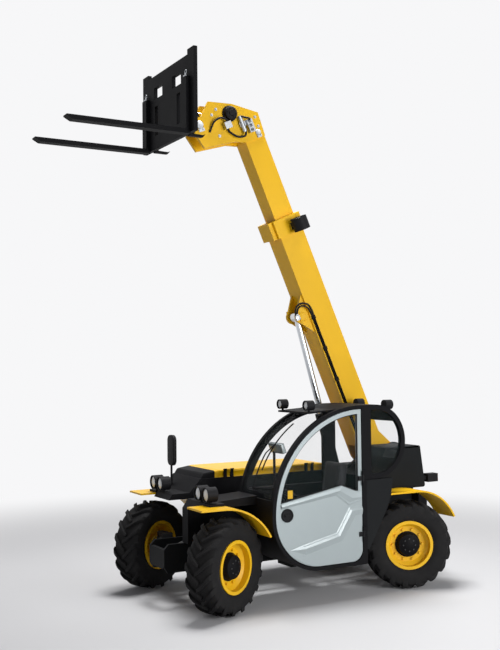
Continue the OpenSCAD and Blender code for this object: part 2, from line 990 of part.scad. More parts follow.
module tilt_barrel() {
  color(black)
    on_tilt()
      difference() {
        union() {
          bar(0, 0, 40, -34, 34);
          rod_x(20, 430, 0, 0, 40);
        }
        bar(0, 0, 23, -40, 40);
        rod_x(48, 410, 0, 0, 31);
        rod_x(48, 431, 0, 0, 23);
      }
}

module tilt_rod() {
  color("#d5d9dc")
    on_tilt() {
      rod_x(310, tilt_len, 0, 0, 22);
      bar(tilt_len, 0, 36, -30, 30);
    }
}

// Arms of the carriage round the pivot and the tilt rod.
module lever_shape() {
  difference() {
    union() {
      circle(r = 62);
      translate([lever_x, lever_z])
        circle(r = 48);
      polygon([[-30, -55], [car_back + 1, -130], [car_back + 1, 240], [lever_x + 20, lever_z + 44],
        [lever_x - 46, lever_z + 10], [-60, 10]]);
    }
    circle(r = tilt_pin_r + 1);
    translate([lever_x, lever_z])
      circle(r = 26);
  }
}

module carriage() {
  color(black)
    on_carriage()
      union() {
        difference() {
          box([car_back, -carriage_w / 2, car_low], [car_back + car_t, carriage_w / 2, car_low + carriage_h]);
          for (s = [-1, 1]) {
            box([car_back - 1, s > 0 ? 120 : -330, 330], [car_back + car_t + 1, s > 0 ? 330 : -120, 450]);
            box([car_back - 1, s > 0 ? 230 : -310, -60], [car_back + car_t + 1, s > 0 ? 310 : -230, 250]);
          }
          box([car_back - 1, -carriage_w / 2 + 140, car_low + carriage_h - 50],
            [car_back + car_t + 1, carriage_w / 2 - 140, car_low + carriage_h + 1]);
        }
        for (y = [-440, 400])
          xz(y, y + 40)
            polygon([[car_back + 5, car_low + 70], [car_back + 5, car_low - 12],
              [car_back - 145, car_low - 12], [car_back - 175, car_low + 22],
              [car_back - 145, car_low + 10], [car_back - 40, car_low + 14], [car_back - 30, car_low + 70]]);
        xz(46, 76)
          lever_shape();
        xz(-76, -46)
          lever_shape();
      }
}

module forks() {
  color(black)
    on_carriage()
      for (s = [-1, 1])
        xz(s * fork_gap / 2 - fork_w / 2, s * fork_gap / 2 + fork_w / 2)
          polygon([[fork_face, fork_top - fork_t], [fork_face + fork_t + fork_l - 60, fork_top - fork_t],
            [fork_face + fork_t + fork_l, fork_top - 12], [fork_face + fork_t + fork_l, fork_top],
            [fork_face + fork_t, fork_top], [fork_face + fork_t, fork_top + 520],
            [fork_face, fork_top + 520]]);
}

// Wheel coordinates: z along the axle, pointing out of the machine.
module on_wheel(x, s, turn) {
  translate([x, s * king_y, axle_z])
    rotate([0, 0, turn])
      translate([0, s * kingpin_in, 0])
        rotate([s > 0 ? -90 : 90, 0, 0])
          children();
}

module knuckle(x, s, turn) {
  color(black)
    union() {
      translate([x, s * king_y, axle_z]) {
        cylinder(r = 55, h = 190, center = true);
        cylinder(r = trunnion_r, h = 2 * (yoke_z + yoke_t) + 10, center = true);
      }
      on_wheel(x, s, turn) {
        translate([0, 0, -kingpin_in])
          cylinder(r = spindle_r, h = kingpin_in + 58);
        translate([-150, s > 0 ? 62 : -90, -kingpin_in - 20])
          cube([150, 28, 40]);
      }
    }
}

module rim(x, s, turn) {
  r = rim_d / 2;
  color(yellow)
    on_wheel(x, s, turn)
      rotate_extrude()
        polygon([[r - 31, -136], [r, -136], [r, -124], [r - 17, -124], [r - 17, 124], [r, 124], [r, 136],
          [r - 31, 136], [r - 31, 70], [r - 68, 44], [120, 44], [105, 108], [70, 122], [0, 122], [0, 70],
          [spindle_r + 1, 70],
          [spindle_r + 1, -50], [90, -50], [90, 28], [r - 63, 28], [r - 31, 42]]);
}

// Section points of the inner side of the tyre, with its crown lowered by g.
function tyre_side(q, t, w, g) = [[q - 17, -124], [q, -124], [q + (t - q) * 0.1, 15 - w],
  [q + (t - q) * 0.37, 1 - w], [t - (t - q) * 0.34 - g / 3, -w],
  [t - (t - q) * 0.15 - g * 0.7, 7 - w + g / 6], [t - (t - q) * 0.04 - g, 27 - w + g / 3],
  [t - g, 55 - w + g / 3]];

// Whole section of the tyre from its bead or from a larger radius outwards.
module tyre_shape(g, from) {
  side = tyre_side(rim_d / 2, tyre_d / 2, tyre_w / 2, g);
  inner = [for (p = side) if (p[0] > from) p];
  edge = from > rim_d / 2 ? [[from, inner[0][1]]] : [];
  half = concat(edge, inner);
  last = len(half) - 1;
  polygon(concat(half, [for (i = [0:last]) [half[last - i][0], -half[last - i][1]]]));
}

// Slanted tread bars, those of one side half a step from the other's.
module tread_bars(s) {
  t = tyre_d / 2;
  for (i = [0:lugs - 1])
    for (k = [0, 1])
      rotate([0, 0, (i + k / 2) * 360 / lugs])
        rotate([s * (k > 0 ? 180 - lug_a : lug_a), 0, 0])
          box([t - 80, -lug_w / 2, -14], [t + 5, lug_w / 2, tyre_w]);
}

module tyre(x, s, turn) {
  color(black)
    on_wheel(x, s, turn)
      union() {
        rotate_extrude()
          tyre_shape(lug_h, 0);
        intersection() {
          rotate_extrude()
            tyre_shape(0, tyre_d / 2 - 85);
          tread_bars(s);
        }
      }
}

module front_left_knuckle() { knuckle(front_x, 1, front_steer); }
module front_left_rim() { rim(front_x, 1, front_steer); }
module front_left_tyre() { tyre(front_x, 1, front_steer); }
module front_right_knuckle() { knuckle(front_x, -1, front_steer); }
module front_right_rim() { rim(front_x, -1, front_steer); }
module front_right_tyre() { tyre(front_x, -1, front_steer); }
module rear_left_knuckle() { knuckle(rear_x, 1, rear_steer); }
module rear_left_rim() { rim(rear_x, 1, rear_steer); }
module rear_left_tyre() { tyre(rear_x, 1, rear_steer); }
module rear_right_knuckle() { knuckle(rear_x, -1, rear_steer); }
module rear_right_rim() { rim(rear_x, -1, rear_steer); }
module rear_right_tyre() { tyre(rear_x, -1, rear_steer); }

chassis_frame();
counterweight();
front_axle();
rear_axle();
driveline();
engine_block();
cab_floor();
cab_left_frame();
cab_right_frame();
cab_roof();
cab_rear_wall();
windscreen();
cab_windows();
seat();
controls();
fenders();
headlights();
mirror();
tail_lights();
work_lights();
rear_panel();
rear_cowl();
front_cowl();
right_body();
bonnet();
door_panel();
door_glass();
door_handle();
boom_outer();
boom_pipes();
boom_light();
boom_inner();
head_fittings();
lift_barrel();
lift_rod();
tilt_barrel();
tilt_rod();
carriage();
forks();
front_left_knuckle();
front_left_rim();
front_left_tyre();
front_right_knuckle();
front_right_rim();
front_right_tyre();
rear_left_knuckle();
rear_left_rim();
rear_left_tyre();
rear_right_knuckle();
rear_right_rim();
rear_right_tyre();
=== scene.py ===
# %% [markdown]
# # A compact telehandler
# The machine has a rounded cab on its left, a telescopic boom in its middle and an engine under a lid
# on its right. Its construction comes in as a fixed frame of metal solids, already in metres and in
# place. The cells below give each surface its finish and add the tread, lamps, padding and small
# fittings.

# %% Load the frame
import json
import math

import bmesh
import bpy
from mathutils import Matrix, Vector


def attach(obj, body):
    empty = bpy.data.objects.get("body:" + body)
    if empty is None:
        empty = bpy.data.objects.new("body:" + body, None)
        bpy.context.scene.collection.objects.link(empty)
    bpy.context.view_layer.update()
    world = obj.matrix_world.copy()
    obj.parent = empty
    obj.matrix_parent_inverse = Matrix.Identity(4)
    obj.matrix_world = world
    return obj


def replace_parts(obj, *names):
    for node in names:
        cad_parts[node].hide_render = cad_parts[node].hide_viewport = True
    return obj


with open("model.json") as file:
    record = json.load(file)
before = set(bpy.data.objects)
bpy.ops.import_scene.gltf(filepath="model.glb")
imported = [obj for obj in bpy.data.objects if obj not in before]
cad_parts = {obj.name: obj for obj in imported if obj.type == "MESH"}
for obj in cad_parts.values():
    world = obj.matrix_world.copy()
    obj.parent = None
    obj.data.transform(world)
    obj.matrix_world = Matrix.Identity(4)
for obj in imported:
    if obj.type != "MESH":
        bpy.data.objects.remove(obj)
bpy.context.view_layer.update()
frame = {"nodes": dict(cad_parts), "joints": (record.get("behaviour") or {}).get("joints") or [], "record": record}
NODES = frame["nodes"]
JOINTS = {joint["name"]: joint for joint in frame["joints"]}
WHEELS = ("front_left", "front_right", "rear_left", "rear_right")

# %% [markdown]
# ## The camera
# The photograph was taken from ahead and to the left, a little above the cab roof, with a normal
# lens. The place and the turn of the camera were found by matching the wheels and the forks, so they
# are plain numbers here. A focal length in pixels becomes one in millimetres through the height of
# the picture.

# %% Camera
PICTURE_HEIGHT = 650
FOCAL_PIXELS = 950
SENSOR = 36
CAMERA_PLACE = Vector((4.967, 8.785, 2.361))
CAMERA_HEADING = math.radians(-119.46)
CAMERA_TILT = math.radians(2.44)
CAMERA_ROLL = math.radians(-0.61)


def add_camera():
    data = bpy.data.cameras.new("camera")
    data.sensor_fit = "VERTICAL"
    data.sensor_height = SENSOR
    data.lens = SENSOR * FOCAL_PIXELS / PICTURE_HEIGHT
    camera = bpy.data.objects.new("camera", data)
    bpy.context.scene.collection.objects.link(camera)
    ahead = Vector((math.cos(CAMERA_HEADING), math.sin(CAMERA_HEADING), 0)) * math.cos(CAMERA_TILT)
    ahead.z = math.sin(CAMERA_TILT)
    turn = ahead.to_track_quat("-Z", "Y").to_matrix().to_4x4()
    camera.matrix_world = Matrix.Translation(CAMERA_PLACE) @ turn @ Matrix.Rotation(CAMERA_ROLL, 4, "Z")
    bpy.context.scene.camera = camera
    return camera


print("lens:", round(add_camera().data.lens, 1), "mm")

# %% [markdown]
# ## Shader arithmetic
# A finish is a small network of nodes. Wire wraps one output of a node so that plain Python
# arithmetic on it adds the Math nodes, and Finish makes a material and places every other node with
# one method.

# %% Wire and Finish


class Wire:
    """An output of a shader node that can be used in arithmetic."""

    def __init__(self, finish, socket):
        self.finish, self.socket = finish, socket

    def math(self, operation, first, second):
        return self.finish.node("Math", {"operation": operation}, {0: first, 1: second})

    def __add__(self, other):
        return self.math("ADD", self, other)

    def __sub__(self, other):
        return self.math("SUBTRACT", self, other)

    def __mul__(self, other):
        return self.math("MULTIPLY", self, other)

    def __rsub__(self, other):
        return self.math("SUBTRACT", other, self)

    __radd__ = __add__
    __rmul__ = __mul__

    def at_least(self, other):
        return self.math("MAXIMUM", self, other)


class Finish:
    """A material with one Principled shader, built up node by node."""

    def __init__(self, name):
        self.material = bpy.data.materials.new(name)
        self.material.use_nodes = True
        self.tree = self.material.node_tree
        self.shader = self.tree.nodes["Principled BSDF"]

    def node(self, kind, settings, sockets, output=0):
        new = self.tree.nodes.new("ShaderNode" + kind)
        for name, value in settings.items():
            setattr(new, name, value)
        for name, value in sockets.items():
            self.feed(new.inputs[name], value)
        return Wire(self, new.outputs[output])

    def feed(self, socket, value):
        if isinstance(value, Wire):
            self.tree.links.new(value.socket, socket)
        else:
            socket.default_value = value

    def surface(self, **values):
        for name, value in values.items():
            self.feed(self.shader.inputs[name.replace("_", " ")], value)
        return self.material

    def place(self):
        return self.node("TexCoord", {}, {}, "Object")

    def noise(self, scale, detail=3.0, rough=0.5):
        sockets = {"Vector": self.place(), "Scale": scale, "Detail": detail, "Roughness": rough}
        return self.node("TexNoise", {}, sockets, "Fac")

    def cells(self, scale):
        return self.node("TexVoronoi", {}, {"Vector": self.place(), "Scale": scale}, "Distance")

    def height(self):
        return self.node("SeparateXYZ", {}, {"Vector": self.place()}, "Z")

    def blend(self, share, first, second):
        sockets = {"Factor": share, "A": first, "B": second}
        mix = self.tree.nodes.new("ShaderNodeMix")
        mix.data_type = "RGBA"
        for socket in mix.inputs:
            if socket.enabled and socket.name in sockets:
                self.feed(socket, sockets[socket.name])
        return Wire(self, next(socket for socket in mix.outputs if socket.enabled))

    def bump(self, height, strength, distance):
        sockets = {"Height": height, "Strength": strength, "Distance": distance}
        return self.node("Bump", {}, sockets, "Normal")


def colour(red, green, blue):
    return (red, green, blue, 1)


def tinted(tone, share):
    """The same tone, lighter or darker by a share."""
    return tuple(channel * share for channel in tone[:3]) + (1,)


# %% [markdown]
# ## Floor and light
# A pale floor that runs into a pale world keeps the machine's outline clear. Close to the machine the
# floor is an ordinary matt surface, so that it takes the shadow. Further out it fades into an even
# glow of the same tone as the world, which hides the horizon, for rays from the camera and for those
# that metal and glass send on. The world lights the machine softly from all sides, a large lamp high
# above makes the shadow under the wheels, and two weaker ones from the left and from ahead show the
# form of the dark parts.

# %% Stage
FLOOR_SIZE = 60
FLOOR_TONE = colour(0.60, 0.60, 0.61)
BACKDROP = colour(0.93, 0.93, 0.94)
SKY_LIGHT = colour(0.11, 0.11, 0.12)
FADE_START = 3.6
FADE_END = 8.5
REFLECTED = ("Is Glossy Ray", "Is Transmission Ray")
LAMPS = (
    ("overhead", (-0.7, -0.5, 9), (0, 0.3, 0), 3.6, 950),
    ("left", (-2.5, 10, 3.2), (-0.3, 0, 2), 5, 740),
    ("ahead", (8, 5, 3), (0, 0, 1.5), 3, 50),
)


def add_stage():
    mesh = bmesh.new()
    bmesh.ops.create_grid(mesh, x_segments=1, y_segments=1, size=FLOOR_SIZE)
    data = bpy.data.meshes.new("floor")
    mesh.to_mesh(data)
    mesh.free()
    floor = bpy.data.objects.new("floor", data)
    bpy.context.scene.collection.objects.link(floor)
    finish = Finish("floor")
    finish.surface(Base_Color=FLOOR_TONE, Roughness=0.9)
    distance = finish.node("VectorMath", {"operation": "LENGTH"}, {0: finish.place()}, "Value")
    limits = {"Value": distance, "From Min": FADE_START, "From Max": FADE_END}
    far = finish.node("MapRange", {"interpolation_type": "SMOOTHSTEP"}, limits)
    direct = finish.node("LightPath", {}, {}, "Is Camera Ray")
    for ray in REFLECTED:
        direct = direct.at_least(finish.node("LightPath", {}, {}, ray))
    glow = finish.node("Emission", {}, {"Color": BACKDROP})
    matt = Wire(finish, finish.shader.outputs[0])
    mixed = finish.node("MixShader", {}, {0: far * direct, 1: matt, 2: glow})
    finish.feed(finish.tree.nodes["Material Output"].inputs["Surface"], mixed)
    data.materials.append(finish.material)


def add_world():
    world = bpy.data.worlds.new("studio")
    world.use_nodes = True
    bpy.context.scene.world = world
    nodes, links = world.node_tree.nodes, world.node_tree.links
    rays = nodes.new("ShaderNodeLightPath")
    seen = rays.outputs["Is Camera Ray"]
    for ray in REFLECTED:
        either = nodes.new("ShaderNodeMath")
        either.operation = "MAXIMUM"
        links.new(seen, either.inputs[0])
        links.new(rays.outputs[ray], either.inputs[1])
        seen = either.outputs[0]
    mix = nodes.new("ShaderNodeMixShader")
    lit, shown = nodes["Background"], nodes.new("ShaderNodeBackground")
    lit.inputs["Color"].default_value = SKY_LIGHT
    shown.inputs["Color"].default_value = BACKDROP
    links.new(seen, mix.inputs["Fac"])
    links.new(lit.outputs[0], mix.inputs[1])
    links.new(shown.outputs[0], mix.inputs[2])
    links.new(mix.outputs[0], nodes["World Output"].inputs["Surface"])


def add_lamp(name, place, aim, size, power):
    """Adds a square lamp that faces a point; sizes are in metres and power in watts."""
    data = bpy.data.lights.new(name, "AREA")
    data.size = size
    data.energy = power
    lamp = bpy.data.objects.new(name, data)
    bpy.context.scene.collection.objects.link(lamp)
    turn = (Vector(aim) - Vector(place)).to_track_quat("-Z", "Y").to_matrix().to_4x4()
    lamp.matrix_world = Matrix.Translation(place) @ turn


add_stage()
add_world()
for lamp in LAMPS:
    add_lamp(*lamp)
bpy.context.scene.view_settings.view_transform = "Standard"
print("floor, world and", len(bpy.data.lights), "lamps")

# %% [markdown]
# ## Paint
# Sprayed paint on a machine is never quite even: it has a faint orange-peel ripple, its gloss changes
# a little from place to place, and road dust settles low down. A fine noise drives the ripple, a
# coarse one the gloss, and the height above the ground the dust.

# %% Painted finishes
DUST = colour(0.30, 0.27, 0.22)
DUST_TOP = 1.1


def paint(name, tone, roughness, dust=0.10, metallic=0.0, coat=0.4, gloss=0.5):
    finish = Finish(name)
    patches = finish.noise(3.0, 4.0)
    ripple = finish.noise(420.0, 2.0)
    even = finish.blend(patches, tone, tinted(tone, 0.86))
    low = (1 - finish.height() * (1 / DUST_TOP)).at_least(0.0)
    settled = low * finish.noise(9.0, 6.0, 0.65) * dust
    return finish.surface(
        Base_Color=finish.blend(settled, even, DUST),
        Roughness=patches * 0.12 + settled + (roughness - 0.06),
        Metallic=metallic,
        Specular_IOR_Level=gloss,
        Coat_Weight=coat,
        Coat_Roughness=0.12,
        Normal=finish.bump(ripple, 0.05, 0.0008),
    )


YELLOW = paint("yellow_paint", colour(0.84, 0.48, 0.004), 0.42, dust=0.05, coat=0.05, gloss=0.25)
BLACK = paint("black_paint", colour(0.004, 0.004, 0.005), 0.62, dust=0.01, coat=0.01, gloss=0.08)
CHARCOAL = paint("charcoal_paint", colour(0.007, 0.008, 0.009), 0.6, dust=0.015, coat=0.01, gloss=0.1)
SILVER = paint("silver_paint", colour(0.33, 0.38, 0.39), 0.34, dust=0.05, metallic=0.25)

# %% [markdown]
# ## Bare and cast metal
# Castings keep the grain of the sand they were poured in. Turned and brushed steel shows fine
# streaks, and the cylinder rods are ground smooth and chromed. A picture of such a surface would have
# to be unwrapped onto each piece, so a fine noise in the object's own space stands in for it.

# %% Metal finishes


def casting(name, tone):
    finish = Finish(name)
    grain = finish.noise(160.0, 5.0, 0.6)
    patches = finish.noise(5.0, 4.0)
    return finish.surface(
        Base_Color=finish.blend(patches, tone, tinted(tone, 0.6)),
        Roughness=grain * 0.2 + 0.5,
        Metallic=0.2,
        Normal=finish.bump(grain, 0.25, 0.002),
    )


def bare_metal(name, tone, roughness):
    finish = Finish(name)
    streaks = finish.noise(220.0, 2.0)
    return finish.surface(
        Base_Color=finish.blend(finish.noise(14.0, 4.0), tone, tinted(tone, 0.75)),
        Roughness=streaks * 0.12 + roughness,
        Metallic=1.0,
        Normal=finish.bump(streaks, 0.04, 0.0005),
    )


CAST = casting("cast_grey", colour(0.035, 0.036, 0.038))
STEEL = bare_metal("bare_steel", colour(0.42, 0.44, 0.46), 0.32)
CHROME = bare_metal("chrome_rod", colour(0.72, 0.75, 0.78), 0.08)

# %% [markdown]
# ## Rubber, plastic and cloth
# Tyre rubber is a dull near-black that greys with dust. Moulded plastic has a fine leather-like
# grain, and the seat is covered in a coarse woven cloth.

# %% Soft and moulded finishes


def rubber(name, tone, dust):
    finish = Finish(name)
    grain = finish.noise(240.0, 4.0, 0.6)
    bloom = finish.noise(6.0, 6.0, 0.6) * dust
    return finish.surface(
        Base_Color=finish.blend(bloom, tone, colour(0.12, 0.115, 0.105)),
        Roughness=grain * 0.15 + 0.62,
        Specular_IOR_Level=0.1,
        Normal=finish.bump(grain, 0.2, 0.0012),
    )


def moulded(name, tone, roughness):
    finish = Finish(name)
    grain = finish.cells(520.0)
    patches = finish.noise(7.0, 3.0)
    return finish.surface(
        Base_Color=finish.blend(patches, tone, tinted(tone, 1.5)),
        Roughness=patches * 0.15 + roughness,
        Specular_IOR_Level=0.12,
        Normal=finish.bump(grain, 0.12, 0.0006),
    )


def woven(name, tone):
    finish = Finish(name)
    threads = {"Vector": finish.place(), "Scale": 150.0, "Distortion": 0.6}
    weft = finish.node("TexWave", {"bands_direction": "X"}, threads, "Fac")
    warp = finish.node("TexWave", {"bands_direction": "Z"}, threads, "Fac")
    cloth = weft.at_least(warp)
    return finish.surface(
        Base_Color=finish.blend(cloth * finish.noise(30.0), tone, tinted(tone, 2.4)),
        Roughness=0.88,
        Sheen_Weight=0.3,
        Normal=finish.bump(cloth, 0.35, 0.0015),
    )


TYRE = rubber("tyre_rubber", colour(0.006, 0.006, 0.007), 0.12)
HOSE = rubber("hose_rubber", colour(0.012, 0.012, 0.013), 0.1)
PLASTIC = moulded("black_plastic", colour(0.006, 0.006, 0.007), 0.5)
CLOTH = woven("seat_fabric", colour(0.016, 0.016, 0.018))

# %% [markdown]
# ## Glass and lenses
# The cab glass is thin and lightly tinted. A thin sheet reads best as a clear coat that mostly lets
# light through, so its alpha is low and faint smears change its gloss. Lenses are thicker and carry
# fine ribs, and each rib gets a painted highlight: its colour is blended towards a paler tone.

# %% Glass finishes


def pane(name, tone, alpha):
    finish = Finish(name)
    smears = finish.noise(4.0, 6.0, 0.6)
    material = finish.surface(
        Base_Color=tone,
        Roughness=smears * 0.06 + 0.02,
        Alpha=smears * 0.03 + alpha,
        Specular_IOR_Level=0.6,
        Coat_Weight=0.6,
        Coat_Roughness=0.02,
    )
    material.surface_render_method = "BLENDED"
    return material


def lens(name, tone, glow):
    finish = Finish(name)
    sockets = {"Vector": finish.place(), "Scale": 60.0}
    ribs = finish.node("TexWave", {"bands_direction": "Y"}, sockets, "Fac")
    return finish.surface(
        # Painted highlight: the ribs are blended towards the paler second colour, as if they caught the light.
        Base_Color=finish.blend(ribs * 0.4, tone, glow),
        Roughness=ribs * 0.08 + 0.06,
        Coat_Weight=0.8,
        Coat_Roughness=0.03,
        Normal=finish.bump(ribs, 0.2, 0.001),
    )


GLASS = pane("clear_glass", colour(0.05, 0.09, 0.09), 0.02)
# The second colour of each lens is the painted highlight on its ribs.
RED_LENS = lens("red_lens", colour(0.42, 0.01, 0.008), colour(0.7, 0.05, 0.03))
AMBER_LENS = lens("amber_lens", colour(0.85, 0.22, 0.01), colour(0.95, 0.40, 0.05))
CLEAR_LENS = lens("clear_lens", colour(0.62, 0.65, 0.66), colour(0.90, 0.92, 0.93))
MIRROR = bare_metal("mirror_face", colour(0.80, 0.82, 0.84), 0.02)

# %% [markdown]
# ## Dressing the frame
# The record of the machine names a finish for each of its solids. The finishes could be handed out
# by hand, but reading the record keeps both in step when a solid is added.

# %% Dress the frame
SLOT_FINISH = {
    "yellow_paint": YELLOW,
    "black_paint": BLACK,
    "charcoal_paint": CHARCOAL,
    "silver_paint": SILVER,
    "bare_steel": STEEL,
    "chrome_rod": CHROME,
    "cast_grey": CAST,
    "clear_glass": GLASS,
    "tyre_rubber": TYRE,
    "black_plastic": PLASTIC,
    "seat_fabric": CLOTH,
    "red_lens": RED_LENS,
    "amber_lens": AMBER_LENS,
    "clear_lens": CLEAR_LENS,
    "mirror_face": MIRROR,
    "hose_rubber": HOSE,
}
for part in frame["record"]["subparts"]:
    solid = NODES[part["node"]].data
    solid.materials.clear()
    solid.materials.append(SLOT_FINISH[part["material_slot"]])

# %% [markdown]
# ## Making pieces
# Each added piece is one mesh. The helpers below start from Blender's own basic shapes, join them in
# one mesh and hand the result over with its finish and the body that it moves with.

# %% Piece helpers
UP = Vector((0, 0, 1))
DOUBLED = 0.00005


def finish_piece(name, mesh, material, body, sharp=35):
    """Turns a bmesh into an object that rides on a body of the machine."""
    bmesh.ops.remove_doubles(mesh, verts=mesh.verts, dist=DOUBLED)
    bmesh.ops.recalc_face_normals(mesh, faces=mesh.faces)
    data = bpy.data.meshes.new(name)
    mesh.to_mesh(data)
    mesh.free()
    data.shade_smooth()
    data.set_sharp_from_angle(angle=math.radians(sharp))
    data.materials.append(material)
    piece = bpy.data.objects.new(name, data)
    bpy.context.scene.collection.objects.link(piece)
    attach(piece, body)
    print(name + ":", len(data.polygons), "faces on", body)
    return piece


def round_edges(mesh, edges, offset, segments):
    bmesh.ops.bevel(
        mesh,
        geom=list(edges),
        offset=offset,
        affect="EDGES",
        segments=segments,
        profile=0.5,
        material=-1,
    )


def add_block(mesh, low, high, bevel=0.0, place=Matrix()):
    """Adds a box between two corners, with rounded edges if asked."""
    low, high = Vector(low), Vector(high)
    spread = Matrix.Diagonal((high - low).to_4d())
    middle = place @ Matrix.Translation((low + high) / 2)
    corners = bmesh.ops.create_cube(mesh, size=1, matrix=middle @ spread)["verts"]
    if bevel:
        round_edges(mesh, {edge for vert in corners for edge in vert.link_edges}, bevel, 3)


def add_rod(mesh, start, end, radius, tip=None, segments=32):
    """Adds a round bar between two points, tapered if the tip has its own radius."""
    start, end = Vector(start), Vector(end)
    turn = (end - start).to_track_quat("Z", "Y").to_matrix().to_4x4()
    place = Matrix.Translation((start + end) / 2) @ turn
    tip = radius if tip is None else tip
    bmesh.ops.create_cone(
        mesh,
        cap_ends=True,
        segments=segments,
        radius1=radius,
        radius2=tip,
        depth=(end - start).length,
        matrix=place,
    )


def add_lathe(mesh, profile, place, segments=48):
    """Turns a profile of (radius, height) points about the Z axis of a place and closes its foot."""
    points = list(profile)
    if points[-1][0]:
        points.append(points[0] if points[0][0] else (0.0, points[-1][1]))
    verts = [mesh.verts.new(place @ Vector((radius, 0, height))) for radius, height in points]
    edges = [mesh.edges.new(pair) for pair in zip(verts, verts[1:])]
    axis = (place.to_3x3() @ UP).normalized()
    bmesh.ops.spin(
        mesh,
        geom=verts + edges,
        cent=place.translation,
        axis=axis,
        angle=2 * math.pi,
        steps=segments,
        use_merge=True,
    )


def add_plate(mesh, outline, thickness, place):
    """Adds a flat plate with an outline in the X and Y of a place, grown along its Z."""
    face = mesh.faces.new([mesh.verts.new(place @ Vector((x, y, 0))) for x, y in outline])
    grown = bmesh.ops.extrude_face_region(mesh, geom=[face])["geom"]
    shift = (place.to_3x3() @ UP).normalized() * thickness
    moved = [item for item in grown if isinstance(item, bmesh.types.BMVert)]
    bmesh.ops.translate(mesh, vec=shift, verts=moved)


def add_hose(mesh, points, radius, segments=12, steps=10):
    """Sweeps a round section along a smooth path through the points."""
    points = [Vector(point) for point in points]
    ends = [2 * points[0] - points[1]] + points + [2 * points[-1] - points[-2]]
    path = []
    for before, here, there, after in zip(ends, ends[1:], ends[2:], ends[3:]):
        for step in range(steps):
            share = step / steps
            bend = here * 2 + (there - before) * share
            bend += (before * 2 - here * 5 + there * 4 - after) * share**2
            bend += (here * 3 - before - there * 3 + after) * share**3
            path.append(bend / 2)
    path.append(points[-1])
    rings = []
    side = (path[1] - path[0]).orthogonal()
    for index, point in enumerate(path):
        along = path[min(index + 1, len(path) - 1)] - path[max(index - 1, 0)]
        side = (side - along * side.dot(along) / along.length_squared).normalized()
        turn = Matrix((side, along.normalized().cross(side), along.normalized())).transposed().to_4x4()
        place = Matrix.Translation(point) @ turn
        ring = bmesh.ops.create_circle(
            mesh,
            cap_ends=index in (0, len(path) - 1),
            segments=segments,
            radius=radius,
            matrix=place,
        )["verts"]
        rings.append(list({edge for vert in ring for edge in vert.link_edges}))
    for ring, other in zip(rings, rings[1:]):
        bmesh.ops.bridge_loops(mesh, edges=ring + other)


def geometry(faces):
    """The faces with all their edges and corners, as the operators want them."""
    verts = list({vert for face in faces for vert in face.verts})
    edges = list({edge for face in faces for edge in face.edges})
    return verts + edges + list(faces)


def repeat_round(mesh, faces, count):
    """Copies faces round the Z axis so that there are count of them, evenly spread."""
    bmesh.ops.spin(
        mesh,
        geom=geometry(faces),
        cent=(0, 0, 0),
        axis=UP,
        angle=2 * math.pi * (count - 1) / count,
        steps=count - 1,
        use_duplicate=True,
    )


def frame_of(origin, along, up=UP):
    """A place whose Z axis points along a direction and whose Y axis is near up."""
    along = Vector(along).normalized()
    side = Vector(up).cross(along).normalized()
    turn = Matrix((side, along.cross(side), along)).transposed().to_4x4()
    return Matrix.Translation(Vector(origin)) @ turn


# %% [markdown]
# ## Tyres
# A tractor tread is a row of slanted bars on each side of the tyre, set half a step apart so that
# they interlock in the middle. One bar is a row of four-cornered sections from the middle to the
# shoulder, bridged and rounded, and spin copies it round the wheel. The bars on the other side are a
# mirrored copy. The middle of a bar meets the ground first when the machine drives forward.

# %% Tyres
CARCASS = (
    (0.238, -0.124), (0.254, -0.124), (0.274, -0.139), (0.298, -0.150), (0.330, -0.154), (0.372, -0.154),
    (0.402, -0.147), (0.420, -0.126), (0.427, -0.090), (0.429, 0.0), (0.427, 0.090), (0.420, 0.126),
    (0.402, 0.147), (0.372, 0.154), (0.330, 0.154), (0.298, 0.150), (0.274, 0.139), (0.254, 0.124),
    (0.238, 0.124),
)
LUGS = 18
LUG_SWEEP = math.radians(19.3)
LUG_SECTIONS = (
    (-0.016, 0.459, 0.030), (0.030, 0.459, 0.034), (0.080, 0.457, 0.040), (0.118, 0.452, 0.048),
    (0.140, 0.440, 0.054), (0.1535, 0.412, 0.056), (0.1545, 0.385, 0.050),
)
LUG_DEPTH = 0.045
LUG_FLARE = 1.25
LUG_EDGE = 0.004


def wheel_place(corner):
    """A place on the wheel's centre with its Z axis along the axle, out of the machine."""
    spin = JOINTS[corner + "_spin"]
    out = Vector(spin["axis"])
    if out.y * spin["pos_m"][1] < 0:
        out = -out
    return frame_of(spin["pos_m"], out)


def add_lug(mesh, way):
    """Adds one tread bar of the outer half of a tyre that lies along Z."""
    faces_before = set(mesh.faces)
    rings = []
    for height, radius, width in LUG_SECTIONS:
        angle = way * LUG_SWEEP * max(height, 0.0) / LUG_SECTIONS[-1][0]
        half = width / 2 / radius
        low = radius - LUG_DEPTH
        foot = half * LUG_FLARE
        corners = ((low, -foot), (radius, -half), (radius, half), (low, foot))
        ring = [
            mesh.verts.new((reach * math.cos(angle + turn), reach * math.sin(angle + turn), height))
            for reach, turn in corners
        ]
        rings.append([mesh.edges.new((ring[index - 1], ring[index])) for index in range(4)])
    for ring, other in zip(rings, rings[1:]):
        bmesh.ops.bridge_loops(mesh, edges=ring + other)
    for end in (rings[0], rings[-1]):
        bmesh.ops.edgeloop_fill(mesh, edges=end)
    new = [face for face in mesh.faces if face not in faces_before]
    bmesh.ops.recalc_face_normals(mesh, faces=new)
    edges = {edge for face in new for edge in face.edges if edge.calc_face_angle(0) > 0.7}
    round_edges(mesh, edges, LUG_EDGE, 1)
    return [face for face in mesh.faces if face not in faces_before]


